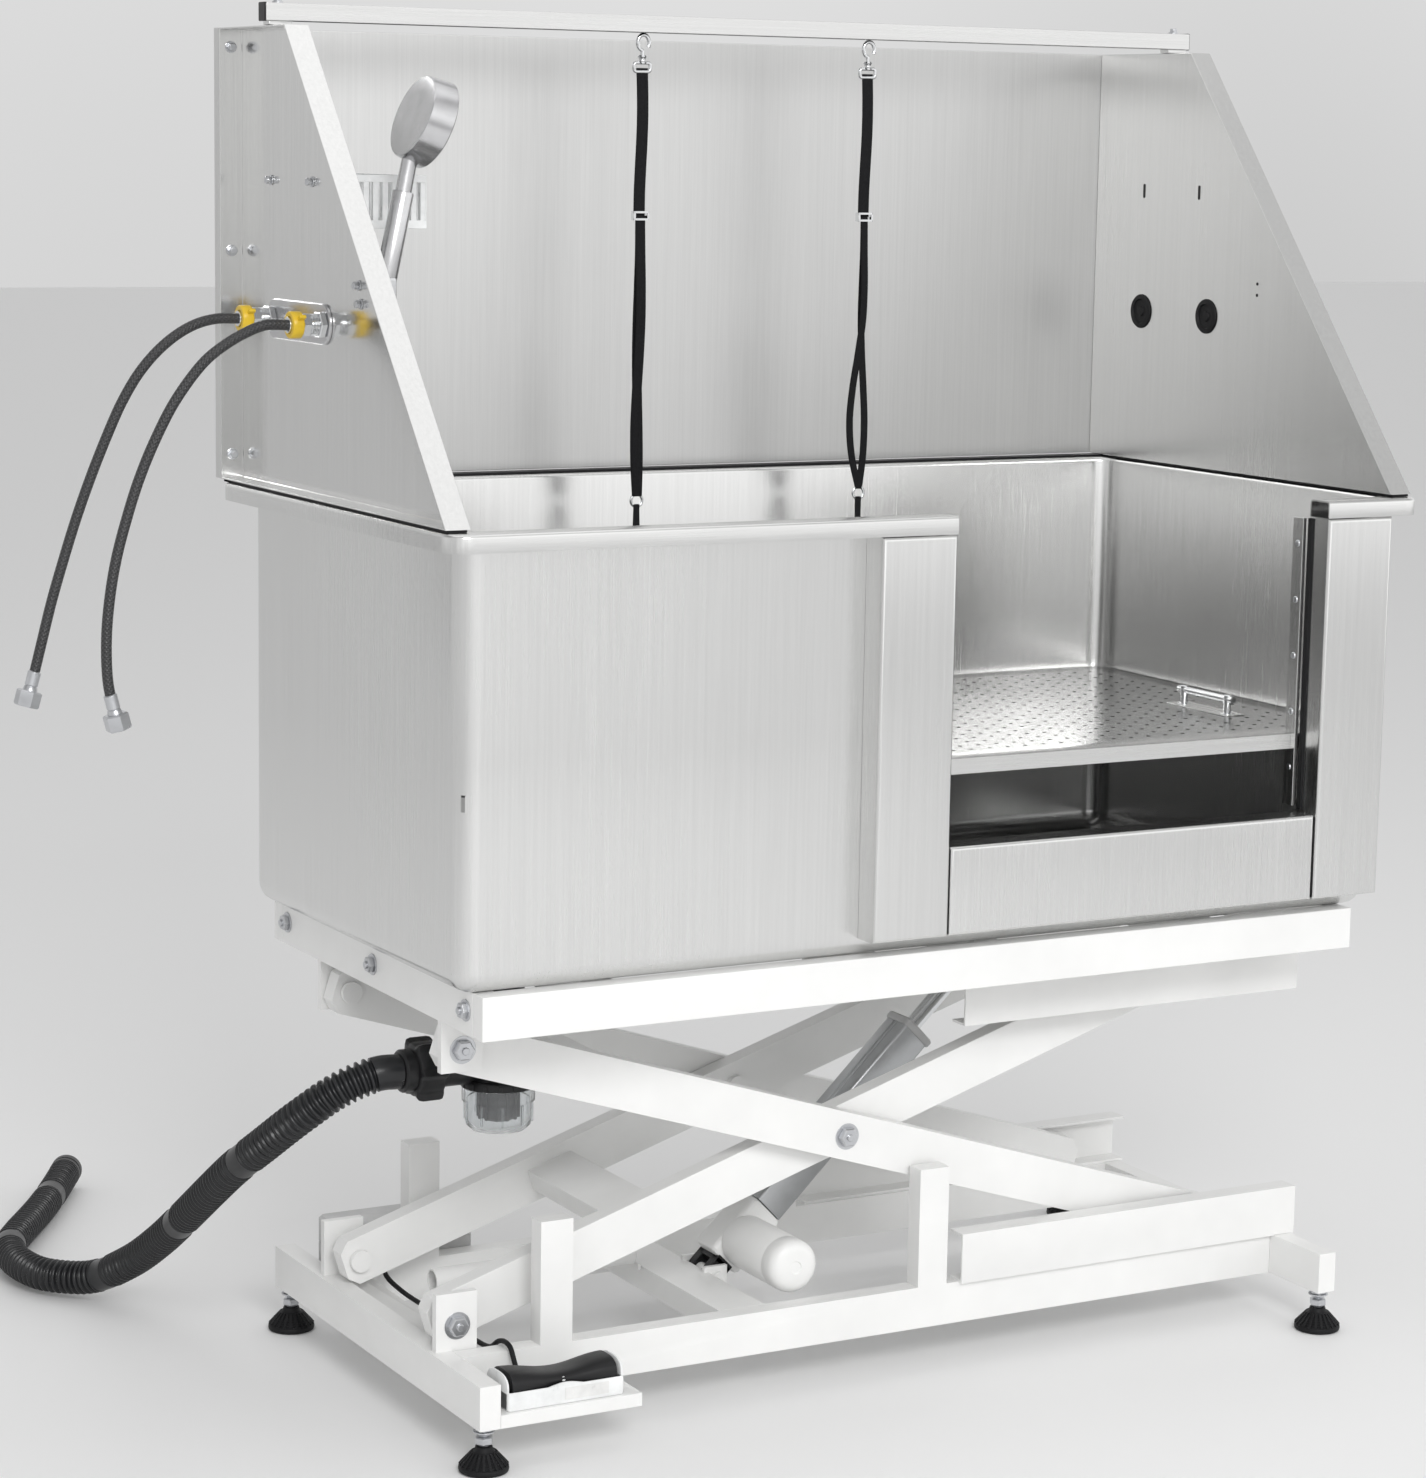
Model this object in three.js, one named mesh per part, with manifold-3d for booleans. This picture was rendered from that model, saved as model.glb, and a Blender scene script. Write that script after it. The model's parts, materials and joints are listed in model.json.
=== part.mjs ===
// Pet bathtub on an electric scissor lift. Millimetres, +Z up, +X towards the tub's right end,
// the door faces -Y. The origin is on the floor under the middle of the object's box.
import * as THREE from "three";
import { mergeVertices } from "three/addons/utils/BufferGeometryUtils.js";
import Module from "manifold-3d";

const wasm = await Module();
wasm.setup();

// ---- driving dimensions ----
const DEGREE = Math.PI / 180;
const GAP = 0.3; // clearance between pieces that touch
const SHEET = 2; // folded stainless sheet
const WALL = 2.5; // welded steel tube

const RIM = { x: 635, y: 327, top: 1028, lip: 20 };
const BODY = { x: 608, y: 293, bottom: 531 + GAP };
const BEAM = { left: -583, right: 575, front: -300, back: 284, wide: 25 };
const BASE = { low: 50, top: 100 };
const PLATFORM = { low: 482, top: 531 };
const LIFT_Y = (BEAM.front + BEAM.back) / 2; // the linkage is symmetric about this plane
const RAIL_Y = 192; // outer face of a rail, from LIFT_Y
const RAILS = { wide: 25, from: 90, proud: 8 }; // the channels start here, proud of the rails
const POSTS = [-462, 34];
const POST = { wide: 40, top: 243 };
const CROSS_BARS = [-416, 34, 400];

const ARM = { deep: 56, wide: 25, tail: 20, head: 30, outer: 162, inner: 134, length: 1050.9 };
const PIVOT = { x: -551, low: 128, high: 445 };
const LIFT_ANGLE = Math.asin((PIVOT.high - PIVOT.low) / ARM.length);
const BOLT = { shaft: 8, head: 13, thick: 8 };
const ROLLER = { radius: 24, wide: 20.5, face: 187.5 };

const ACTUATOR = { x: -148, z: 92, angle: 43.9 * DEGREE, length: 505 };
const DOOR = { left: -18, right: 495, sill: 655, front: -328, from: -116, to: 590, low: 553 };
const GRATE = { x: 602, y: 287, top: 749, deep: 19 };
const SPLASH = { face: 602.5, out: 632, low: 1031, top: 1554, toe: -306, brow: 130, back: 328 };
const BACK = { from: 328 + GAP, to: 345 };
const BAR = { x: 634, y: 188, low: 1559, tall: 20, wide: 22 };
const INLET = { rear: 224, front: 74, z: 1224, plate: 608.5, end: 652 };
const TRAP = { x: -454, y: -70, cup: 318, top: 369, radius: 42, outlet: 398 };
const PEDAL = { left: -545, right: -407, front: -296, back: -236, low: 65 + GAP, top: 80 };
const BOX = { left: -545, right: -365, front: 185 + GAP, back: 245, low: 62, top: 145 };
const HANDSET = { x: -577, y: -20, z: 1262, lean: 12 * DEGREE, tilt: 9 * DEGREE };
const Y_MIDDLE = (DOOR.front + BACK.to) / 2; // middle of the object's box, front to back

// ---- materials ----
const paint = (color, roughness, metalness = 0) =>
  new THREE.MeshStandardMaterial({ color, roughness, metalness });
const STAINLESS = paint(0xc9c9c7, 0.35, 1);
const WHITE = paint(0xf1f1ef, 0.45);
const ZINC = paint(0xb9bcbf, 0.35, 1);
const CHROME = paint(0xe2e4e6, 0.08, 1);
const BLACK = paint(0x161617, 0.6);
const RUBBER = paint(0x1d1d1e, 0.85);
const GREY = paint(0x9a9b9c, 0.5);
const ALUMINIUM = paint(0xb4b6b8, 0.4, 1);
const CLEAR = paint(0xdfe6ea, 0.1);
const WEBBING = paint(0x1b1b1d, 0.9);

// ---- solids ----
function solid(geometry) {
  const bare = geometry.index ? geometry.toNonIndexed() : geometry.clone();
  bare.deleteAttribute("normal");
  bare.deleteAttribute("uv");
  const merged = mergeVertices(bare, 1e-3);
  return new wasm.Manifold(
    new wasm.Mesh({
      numProp: 3,
      vertProperties: merged.attributes.position.array,
      triVerts: new Uint32Array(merged.index.array),
    }),
  );
}

function geometryOf(manifold) {
  const mesh = manifold.getMesh();
  const geometry = new THREE.BufferGeometry();
  geometry.setAttribute("position", new THREE.BufferAttribute(mesh.vertProperties, 3));
  geometry.setIndex(new THREE.BufferAttribute(mesh.triVerts, 1));
  return geometry;
}

const join = (first, ...rest) => rest.reduce((sum, next) => sum.add(next), first);
const cut = (first, ...rest) => rest.reduce((left, next) => left.subtract(next), first);

function block(x0, x1, y0, y1, z0, z1) {
  const box = new THREE.BoxGeometry(x1 - x0, y1 - y0, z1 - z0);
  return solid(box.translate((x0 + x1) / 2, (y0 + y1) / 2, (z0 + z1) / 2));
}

// A straight prism along one axis: its outline is drawn in the plane of the other two.
function prism(axis, outline, from, to) {
  const shape = new THREE.Shape(outline.map(([a, b]) => new THREE.Vector2(a, b)));
  const settings = { depth: to - from, bevelEnabled: false };
  const geometry = new THREE.ExtrudeGeometry(shape, settings).translate(0, 0, from);
  if (axis === "y") geometry.applyMatrix4(AXES_XZ);
  if (axis === "x") geometry.applyMatrix4(AXES_YZ);
  return solid(geometry);
}
const AXES_XZ = new THREE.Matrix4().set(1, 0, 0, 0, 0, 0, -1, 0, 0, 1, 0, 0, 0, 0, 0, 1);
const AXES_YZ = new THREE.Matrix4().set(0, 0, 1, 0, 1, 0, 0, 0, 0, 1, 0, 0, 0, 0, 0, 1);

// A round bar along an axis, through a point.
function round(axis, [x, y, z], radius, from, to, sides = 20) {
  const bar = new THREE.CylinderGeometry(radius, radius, to - from, sides);
  bar.translate(0, (from + to) / 2, 0);
  if (axis === "x") bar.rotateZ(-Math.PI / 2).translate(0, y, z);
  if (axis === "y") bar.translate(x, 0, z);
  if (axis === "z") bar.rotateX(Math.PI / 2).translate(x, y, 0);
  return solid(bar);
}

// A turned piece standing on +Z at (x, y), from a closed profile of [radius, height].
function turned(profile, x, y, sides = 24) {
  const points = profile.map(([r, z]) => new THREE.Vector2(r, z));
  const lathe = new THREE.LatheGeometry(points, sides).rotateX(Math.PI / 2);
  return solid(lathe.translate(x, y, 0));
}

function tube(points, radius, sides, steps) {
  const path = new THREE.CatmullRomCurve3(points.map((p) => new THREE.Vector3(...p)));
  const section = new THREE.Shape();
  for (let i = 0; i < sides; i += 1) {
    const turn = (2 * Math.PI * i) / sides;
    const [a, b] = [radius * Math.cos(turn), radius * Math.sin(turn)];
    if (i) section.lineTo(a, b);
    else section.moveTo(a, b);
  }
  return solid(new THREE.ExtrudeGeometry(section, { steps, extrudePath: path }));
}

// A rectangular steel tube, hollow all the way or closed at its ends with a drain hole below.
function steelTube(axis, x0, x1, y0, y1, z0, z1, closed = false) {
  const end = closed ? -WALL : 1;
  const [ex, ey] = axis === "x" ? [end, -WALL] : [-WALL, end];
  const bore = block(x0 - ex, x1 + ex, y0 - ey, y1 + ey, z0 + WALL, z1 - WALL);
  const middle = axis === "x" ? [(x0 + x1) / 2, (y0 + y1) / 2] : [(x0 + x1) / 2, y1 - 120];
  const drain = round("z", [...middle, 0], 4, z0 - 1, z0 + WALL + 1, 12);
  const hollow = cut(block(x0, x1, y0, y1, z0, z1), bore);
  return closed ? cut(hollow, drain) : hollow;
}

// The linkage has a front and a rear side: this turns a distance outwards into Y.
const outward = (side, distance) => LIFT_Y + side * distance;
const span = (side, from, to) => [outward(side, from), outward(side, to)].sort((a, b) => a - b);

// ---- assembly ----
const root = new THREE.Group();
const tub = new THREE.Group(); // everything is drawn about the rim's middle
tub.position.set(0, -Y_MIDDLE, 0);
root.add(tub);

function add(name, manifold, material, parent = tub) {
  const mesh = new THREE.Mesh(geometryOf(manifold), material);
  mesh.name = name;
  parent.add(mesh);
}

// ---- base ----
function crossbeam(x0, x1) {
  const studs = [BEAM.front + 16, BEAM.back - 20];
  const bored = studs.map((y) => round("z", [(x0 + x1) / 2, y, 0], 6.5, BASE.low - 1, BASE.low + 5));
  const closed = steelTube("y", x0, x1, BEAM.front, BEAM.back, BASE.low, BASE.top, true);
  return cut(closed, ...bored);
}

function pivotPlate(side, z0, z1, near, from, z) {
  const [y0, y1] = span(side, from, from + 10);
  const plate = block(PIVOT.x - 26, PIVOT.x + 24, y0, y1, z0, z1);
  if (side < 0) return cut(plate, round("y", [PIVOT.x, 0, z], BOLT.shaft + GAP, y0 - 1, y1 + 1));
  const reach = near - ARM.wide;
  const stud = round("y", [PIVOT.x, 0, z], BOLT.shaft, outward(1, reach - 3), y0 + 1);
  const cap = round("y", [PIVOT.x, 0, z], BOLT.head, outward(1, reach - 7), outward(1, reach - 1));
  return join(plate, stud, cap);
}

function baseLeftEnd() {
  const strip = block(BEAM.left + 24, PIVOT.x + 36, outward(-1, 164), outward(1, 164), 82, 88);
  const far = ARM.inner + 20;
  const plates = [-1, 1].map((side) => pivotPlate(side, 82, 166, ARM.inner, far, PIVOT.low));
  return join(crossbeam(BEAM.left, BEAM.left + BEAM.wide), strip, ...plates);
}

function lowerChannel(side) {
  const [web, toe] = [RAIL_Y + RAILS.proud, RAIL_Y - 20];
  const outline = [
    [web, 99.6], [web, 160], [toe, 160], [toe, 157],
    [web - 3, 157], [web - 3, 103], [toe, 103], [toe, 99.6],
  ];
  const drawn = outline.map(([d, z]) => [outward(side, d), z]);
  return prism("x", side > 0 ? drawn : drawn.reverse(), RAILS.from, BEAM.right + 5);
}

function baseRail(side) {
  const [y0, y1] = span(side, RAIL_Y - RAILS.wide, RAIL_Y);
  const [x0, x1] = [BEAM.left + BEAM.wide + GAP, BEAM.right - BEAM.wide - GAP];
  const rail = steelTube("x", x0, x1, y0, y1, BASE.low, BASE.top);
  const posts = POSTS.map((x) => block(x, x + POST.wide, y0, y1, BASE.top - 1, POST.top));
  const bores = POSTS.map((x) => {
    const [b0, b1] = [x + WALL, x + POST.wide - WALL];
    return block(b0, b1, y0 + WALL, y1 - WALL, BASE.low + 5, POST.top - WALL);
  });
  const clear = block(BEAM.right - 25.3, BEAM.right + GAP, -400, 400, 40, BASE.top + GAP);
  return cut(join(rail, ...posts, lowerChannel(side)), clear, ...bores);
}

function pedalShelf() {
  const [x0, x1] = [BEAM.left + BEAM.wide + GAP, -385];
  const back = outward(-1, RAIL_Y) + 1;
  const plate = block(x0, x1, BEAM.front, back, 62, 65);
  return join(plate, block(x0, x1, BEAM.front, BEAM.front + 3, 50, 65));
}

function baseMidMember() {
  const [y0, y1] = [outward(-1, RAIL_Y - 25.3), outward(1, RAIL_Y - 25.3)];
  const member = steelTube("y", -220, -160, y0, y1, 70, BASE.top);
  const cheeks = [-1, 1].map((side) => {
    const [c0, c1] = span(side, 24, 30);
    return block(-165, ACTUATOR.x + 14, c0, c1, 74, ACTUATOR.z + 14);
  });
  const pin = round("y", [ACTUATOR.x, 0, ACTUATOR.z], 8, outward(-1, 36), outward(1, 36));
  return join(member, ...cheeks, pin);
}

function foot(x, y) {
  const pad = [
    [0, 0], [28, 0], [28, 6], [20, 20], [9, 24], [9, 28],
    [6, 28], [6, 31], [10.5, 31], [10.5, 40], [6, 40], [6, 60], [0, 60],
  ];
  return turned(pad, x, y, 14);
}

function addBase() {
  add("base_left_end", baseLeftEnd(), WHITE);
  add("base_right_end", crossbeam(BEAM.right - BEAM.wide, BEAM.right), WHITE);
  add("base_front_rail", join(baseRail(-1), pedalShelf()), WHITE);
  add("base_rear_rail", baseRail(1), WHITE);
  add("base_mid_member", baseMidMember(), WHITE);
  const half = BEAM.wide / 2;
  const sides = { left: BEAM.left + half, right: BEAM.right - half };
  const ends = { front: BEAM.front + 16, rear: BEAM.back - 20 };
  for (const [end, y] of Object.entries(ends)) {
    for (const [side, x] of Object.entries(sides)) add(`foot_${end}_${side}`, foot(x, y), RUBBER);
  }
}

// ---- foot pedal and control box ----
function pedalRocker() {
  const middle = (PEDAL.left + PEDAL.right) / 2;
  const half = (PEDAL.right - PEDAL.left) / 2 - 1;
  const low = PEDAL.top + 5;
  const outline = [
    [middle - half, low], [middle - half + 8, low - 3], [middle, low - 4.5],
    [middle + half - 8, low - 3], [middle + half, low], [middle + half, low + 20],
    [middle + 8, low + 13], [middle - 8, low + 13], [middle - half, low + 20],
  ];
  return prism("y", outline, -PEDAL.back + 1, -PEDAL.front - 1);
}

function addControls() {
  const { left, right, front, back, low, top } = PEDAL;
  const tray = cut(
    block(left - 2, right + 2, front - 2, back + 2, low, top + 6),
    block(left, right, front, back, low + 3, top + 8),
  );
  add("pedal_housing", tray, GREY);
  add("pedal_rocker", pedalRocker(), BLACK);
  const lead = [
    [-500, back + 2.6, 76], [-500, -224, 78], [-500, -212, 92], [-500, -202, 104.5],
    [-500, -188, 107], [-500, -172, 103],
    [-500, -150, 90], [-500, -110, 86], [-500, 0, 86], [-500, 100, 86], [-500, 140, 92],
    [-500, 154, 104], [-500, 166, 108], [-500, 176, 108.5], [-500, BOX.front - GAP, 108.5],
  ];
  add("pedal_lead", tube(lead, 3, 8, 30), BLACK);
  add("control_box", block(BOX.left, BOX.right, BOX.front, BOX.back, BOX.low, BOX.top), GREY);
}

// ---- scissor arms: drawn along +X from their left pivot ----
function arm(side, near) {
  const [y0, y1] = span(side, near, near - ARM.wide);
  const [half, toe, heel] = [ARM.deep / 2, -ARM.tail, ARM.length + ARM.head];
  const outline = [
    [toe, -half + 12], [toe + 12, -half], [heel - 14, -half], [heel, -half + 14],
    [heel, half - 14], [heel - 14, half], [toe + 12, half], [toe, half - 12],
  ];
  const bar = prism("y", outline, -y1, -y0);
  const bore = block(30, heel + 1, y0 + WALL, y1 - WALL, -half + WALL, half - WALL);
  const holes = [0, ARM.length / 2].map((x) => {
    return round("y", [x, 0, 0], BOLT.shaft + 0.5, y0 - 1, y1 + 1);
  });
  return cut(bar, bore, ...holes);
}

function crossTube(x, z, wide, tall, near, drop = 0) {
  const reach = near - ARM.wide;
  const y0 = outward(-1, reach - GAP);
  const y1 = outward(1, reach + drop);
  return steelTube("y", x - wide / 2, x + wide / 2, y0, y1, z - tall / 2, z + tall / 2);
}

// The actuator's head, in the inner arms' own frame.
function headPoint() {
  const x = ACTUATOR.x + ACTUATOR.length * Math.cos(ACTUATOR.angle) - PIVOT.x;
  const z = ACTUATOR.z + ACTUATOR.length * Math.sin(ACTUATOR.angle) - PIVOT.low;
  const [c, s] = [Math.cos(LIFT_ANGLE), Math.sin(LIFT_ANGLE)];
  return [x * c + z * s, z * c - x * s];
}

function innerRearArm() {
  const [hx, hz] = headPoint();
  const saddle = crossTube(hx + 38, ARM.deep / 2 + 18, 36, 38, ARM.inner, ARM.wide - 1);
  const [p0, p1] = span(1, ARM.inner - 24, ARM.inner - 1);
  const post = block(hx + 20, hx + 56, p0, p1, ARM.deep / 2 - 1, ARM.deep / 2 + 4);
  const cheeks = [-1, 1].map((side) => {
    const [y0, y1] = span(side, 14, 20);
    return block(hx - 14, hx + 22, y0, y1, hz - 14, hz + 14);
  });
  const pin = round("y", [hx, 0, hz], 8, outward(-1, 24), outward(1, 24));
  const lower = crossTube(263, 0, 60, 26, ARM.inner, 2);
  const middle = ARM.length / 2;
  const disc = (radius, from, to) => {
    return round("y", [middle, 0, 0], radius, outward(1, from), outward(1, to));
  };
  const stud = disc(BOLT.shaft, ARM.inner - 6, ARM.outer + 2);
  const cap = disc(BOLT.head, ARM.outer + GAP, ARM.outer + 7);
  const base = disc(12, ARM.inner - ARM.wide - 8, ARM.inner - 1);
  return join(arm(1, ARM.inner), saddle, post, lower, ...cheeks, pin, stud, cap, base);
}

function armGroup(z, angle) {
  const group = new THREE.Group();
  group.position.set(PIVOT.x, 0, z);
  group.rotation.y = angle;
  tub.add(group);
  return group;
}

// A hex bolt through the pivot at x, its head outside, drawn in the given group's frame.
function bolt(x, z, from, to) {
  const head = round("y", [x, 0, z], BOLT.head, outward(-1, to + BOLT.thick), outward(-1, to + GAP), 6);
  const shaft = round("y", [x, 0, z], BOLT.shaft, outward(-1, to + 1), outward(-1, from - 2));
  const nut = round("y", [x, 0, z], BOLT.head, outward(-1, from - GAP), outward(-1, from - 9), 6);
  return join(head, shaft, nut);
}

function roller(side, stubTo) {
  const face = ROLLER.face - ROLLER.wide;
  const [y0, y1] = span(side, face, ROLLER.face);
  const wheel = round("y", [ARM.length, 0, 0], ROLLER.radius, y0, y1, 28);
  const [s0, s1] = span(side, stubTo + GAP, face + 1);
  return join(wheel, round("y", [ARM.length, 0, 0], 8, s0, s1));
}

function addArms() {
  const inner = armGroup(PIVOT.low, -LIFT_ANGLE);
  const outer = armGroup(PIVOT.high, LIFT_ANGLE);
  add("inner_arm_front", arm(-1, ARM.inner), WHITE, inner);
  add("inner_arm_rear", innerRearArm(), WHITE, inner);
  add("outer_arm_front", arm(-1, ARM.outer), WHITE, outer);
  const outerTube = crossTube(232, 0, 56, 26, ARM.outer, 2);
  add("outer_arm_rear", join(arm(1, ARM.outer), outerTube), WHITE, outer);
  const middle = ARM.length / 2;
  const pin = bolt(middle, 0, ARM.inner - ARM.wide, ARM.outer);
  add("centre_bolt_front", pin, ZINC, inner);
  add("base_bolt_front", bolt(PIVOT.x, PIVOT.low, ARM.inner - ARM.wide, ARM.inner + 30), ZINC);
  add("platform_bolt_front", bolt(PIVOT.x, PIVOT.high, ARM.outer - ARM.wide, ARM.outer + 12), ZINC);
  for (const [side, word] of [[-1, "front"], [1, "rear"]]) {
    add(`roller_upper_${word}`, roller(side, ARM.inner), BLACK, inner);
    add(`roller_lower_${word}`, roller(side, ARM.outer), BLACK, outer);
  }
}

// ---- actuator: drawn along +X from its lower pin ----
function addActuator() {
  const group = new THREE.Group();
  group.position.set(ACTUATOR.x, 0, ACTUATOR.z);
  group.rotation.y = -ACTUATOR.angle;
  tub.add(group);
  const [near, far] = [outward(-1, 24), outward(1, 24)];
  const housing = block(20, 104, near + 0.6, far - 0.6, -26, 26);
  const motor = round("y", [56, 0, 0], 32, outward(-1, 148), near + 1, 28);
  const barrel = round("y", [0, 0, 0], 11.4, near + 1, far - 1);
  const lug = join(block(0, 21, near + 1, far - 1, -11, 11), barrel);
  const eye = round("y", [0, 0, 0], 8.5, near, far);
  add("actuator_motor", cut(join(housing, motor, lug), eye), WHITE, group);
  const sleeve = cut(
    block(104 + GAP, 390, outward(-1, 22), outward(1, 22), -22, 22),
    block(108, 391, outward(-1, 19.5), outward(1, 19.5), -19.5, 19.5),
  );
  add("actuator_tube", sleeve, ALUMINIUM, group);
  const stem = round("x", [0, LIFT_Y, 0], 9, 200, ACTUATOR.length - 14);
  const tip = block(ACTUATOR.length - 26, ACTUATOR.length + 13, outward(-1, 12), outward(1, 12), -13, 13);
  const bore = round("y", [ACTUATOR.length, 0, 0], 8.5, outward(-1, 13), outward(1, 13));
  add("actuator_rod", cut(join(stem, tip), bore), CHROME, group);
}

// ---- platform frame ----
function platformLeft() {
  const [y0, y1] = [BEAM.front + 25.3, BEAM.back - 25.3];
  const member = steelTube("y", BEAM.left, BEAM.left + 25, y0, y1, PLATFORM.low, PLATFORM.top);
  const plates = [-1, 1].map((side) => {
    return pivotPlate(side, 420, PLATFORM.low + 1, ARM.outer, ARM.outer + 2, PIVOT.high);
  });
  return join(member, ...plates);
}

function upperChannel(side) {
  const outline = [
    [RAIL_Y, 411], [RAIL_Y, 482], [RAIL_Y - 28, 482], [RAIL_Y - 28, 470],
    [RAIL_Y - 3, 470], [RAIL_Y - 3, 414], [RAIL_Y - 28, 414], [RAIL_Y - 28, 411],
  ];
  const drawn = outline.map(([d, z]) => [outward(side, d), z]);
  return prism("x", side > 0 ? drawn : drawn.reverse(), RAILS.from, BEAM.right);
}

function platformRight() {
  const [y0, y1] = [BEAM.front + 25.3, BEAM.back - 25.3];
  const { low, top } = PLATFORM;
  const member = steelTube("y", BEAM.right - 25, BEAM.right, y0, y1, low - 0.5, top);
  return join(member, upperChannel(-1), upperChannel(1));
}

function addPlatform() {
  const { low, top } = PLATFORM;
  const long = (y0, y1) => steelTube("x", BEAM.left, BEAM.right, y0, y1, low, top, true);
  add("platform_front", long(BEAM.front, BEAM.front + 25), WHITE);
  add("platform_rear", long(BEAM.back - 25, BEAM.back), WHITE);
  add("platform_left", platformLeft(), WHITE);
  add("platform_right", platformRight(), WHITE);
  const [y0, y1] = [BEAM.front + 25.3, BEAM.back - 25.3];
  const z0 = low + GAP;
  const bars = CROSS_BARS.map((x) => steelTube("y", x, x + POST.wide, y0, y1, z0, z0 + 30));
  const [left, , right] = CROSS_BARS;
  const spine = block(left + 5, right + 5, y0 + 22, y0 + 46, z0, z0 + 30);
  add("platform_cross_frame", join(...bars, spine), WHITE);
}

// ---- tub ----
// The rolled rim on one long or short side: an upside-down channel outside the wall.
function rimOutline(wall, edge, sign) {
  const { top, lip } = RIM;
  const points = [
    [wall - 1, top], [edge, top], [edge, top - lip], [edge - SHEET, top - lip],
    [edge - SHEET, top - SHEET], [wall - 1, top - SHEET],
  ];
  const drawn = points.map(([d, z]) => [sign * d, z]);
  return sign > 0 ? drawn.reverse() : drawn;
}

function frontWall() {
  const { x, y, bottom } = BODY;
  const wall = block(-x, x, -y, -y + SHEET, bottom, RIM.top);
  const doorway = block(DOOR.left, DOOR.right, -y - 1, -y + 3, DOOR.sill, RIM.top + 1);
  const rim = rimOutline(y, RIM.y, -1);
  const left = prism("x", rim, -RIM.x, DOOR.left);
  const right = prism("x", rim, DOOR.right, RIM.x);
  return join(cut(wall, doorway), left, right);
}

function backWall() {
  const { x, y, bottom } = BODY;
  const wall = block(-x, x, y - SHEET, y, bottom, RIM.top);
  return join(wall, prism("x", rimOutline(y, RIM.y, 1), -RIM.x, RIM.x));
}

function endWall(sign) {
  const { x, y, bottom } = BODY;
  const reach = y - SHEET - GAP;
  const [x0, x1] = sign < 0 ? [-x, -x + SHEET] : [x - SHEET, x];
  const wall = block(x0, x1, -reach, reach, bottom, RIM.top);
  const rim = prism("y", rimOutline(x, RIM.x, sign).reverse(), -reach, reach);
  const shelf = GRATE.top - GRATE.deep - GAP;
  const [s0, s1] = sign < 0 ? [x0 + 1, x0 + 20] : [x1 - 20, x1 - 1];
  const ledge = block(s0, s1, -reach, reach, shelf - SHEET, shelf);
  return join(wall, rim, ledge);
}

function doorSurround() {
  const { left, right, sill, front, from, to, low } = DOOR;
  const top = RIM.top - RIM.lip - GAP;
  const ring = (inset, y0, y1) => prism("y", [
    [from + inset, low + inset], [to - inset, low + inset], [to - inset, top - inset],
    [right + inset, top - inset], [right + inset, sill - inset], [left - inset, sill - inset],
    [left - inset, top - inset], [from + inset, top - inset],
  ], -y1, -y0);
  const back = -BODY.y - GAP;
  return cut(ring(0, front, back), ring(SHEET, front + SHEET, back + 1));
}

function floorGrate() {
  const { x, y, top, deep } = GRATE;
  const tray = cut(
    block(-x, x, -y, y, top - deep, top),
    block(-x + SHEET, x - SHEET, -y + SHEET, y - SHEET, top - deep - 1, top - SHEET),
  );
  const posts = [-137, -47].map((py) => round("z", [500, py, 0], 4, top - 1, top + 21, 10));
  return join(tray, ...posts, round("y", [500, 0, top + 20], 4.5, -143, -41, 10));
}

function addTub() {
  const { x, y, bottom } = BODY;
  const inset = SHEET + GAP;
  const sheet = block(-x + inset, x - inset, -y + inset, y - inset, bottom, bottom + SHEET);
  const drain = round("z", [TRAP.x, TRAP.y, 0], 31, bottom - 1, bottom + SHEET + 1);
  add("tub_floor", cut(sheet, drain), STAINLESS);
  add("tub_front_wall", frontWall(), STAINLESS);
  add("tub_back_wall", backWall(), STAINLESS);
  add("tub_left_wall", endWall(-1), STAINLESS);
  add("tub_right_wall", endWall(1), STAINLESS);
  add("door_surround", doorSurround(), STAINLESS);
  add("floor_grate", floorGrate(), STAINLESS);
}

// ---- splash panels and overhead bar ----
function sidePanel(sign) {
  const { face, out, low, top, toe, brow, back } = SPLASH;
  const side = (inset) => [
    [toe + inset * 1.6, low + inset], [back - inset, low + inset],
    [back - inset, top - inset], [brow + inset * 0.6, top - inset],
  ];
  if (sign > 0) {
    return cut(prism("x", side(0), face, out), prism("x", side(SHEET), face + SHEET, out + 1));
  }
  return cut(prism("x", side(0), -out, -face), prism("x", side(SHEET), -out - 1, -face - SHEET));
}

function backPanel() {
  const { out, low, top } = SPLASH;
  const tray = block(-out, out, BACK.from, BACK.to, low, top);
  const [x, z0, z1] = [out - SHEET, low + SHEET, top - SHEET];
  return cut(tray, block(-x, x, BACK.from + SHEET, BACK.to + 1, z0, z1));
}

function overheadBar() {
  const { x, y, low, tall, wide } = BAR;
  const bar = steelTube("x", -x, x, y - wide / 2, y + wide / 2, low, low + tall);
  const seats = [-1, 1].map((side) => {
    const [x0, x1] = side < 0 ? [-x + 4, -SPLASH.face] : [SPLASH.face, x - 4];
    return block(x0, x1, y - 9, y + 9, SPLASH.top + GAP, low + 1);
  });
  return join(bar, ...seats);
}

function strap(x) {
  const { y, low } = BAR;
  const web = block(x - 7.5, x + 7.5, y - 1, y + 1, 1330, low - GAP);
  const slider = block(x - 11, x + 11, y - 4, y + 4, 1334, 1354);
  const pair = (from, to) => [y - 8, y + 8].map((at) => {
    return block(x - 7.5, x + 7.5, at - 1, at + 1, from, to);
  });
  const crown = block(x - 7.5, x + 7.5, y - 9, y + 9, 1340, 1342);
  const ring = block(x - 10, x + 10, y - 10, y + 10, 994, 1006);
  const base = block(x - 7.5, x + 7.5, y - 9, y + 9, 898, 900.5);
  return join(web, slider, crown, ...pair(1000, 1350), ring, ...pair(900, 1000), base);
}

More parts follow.
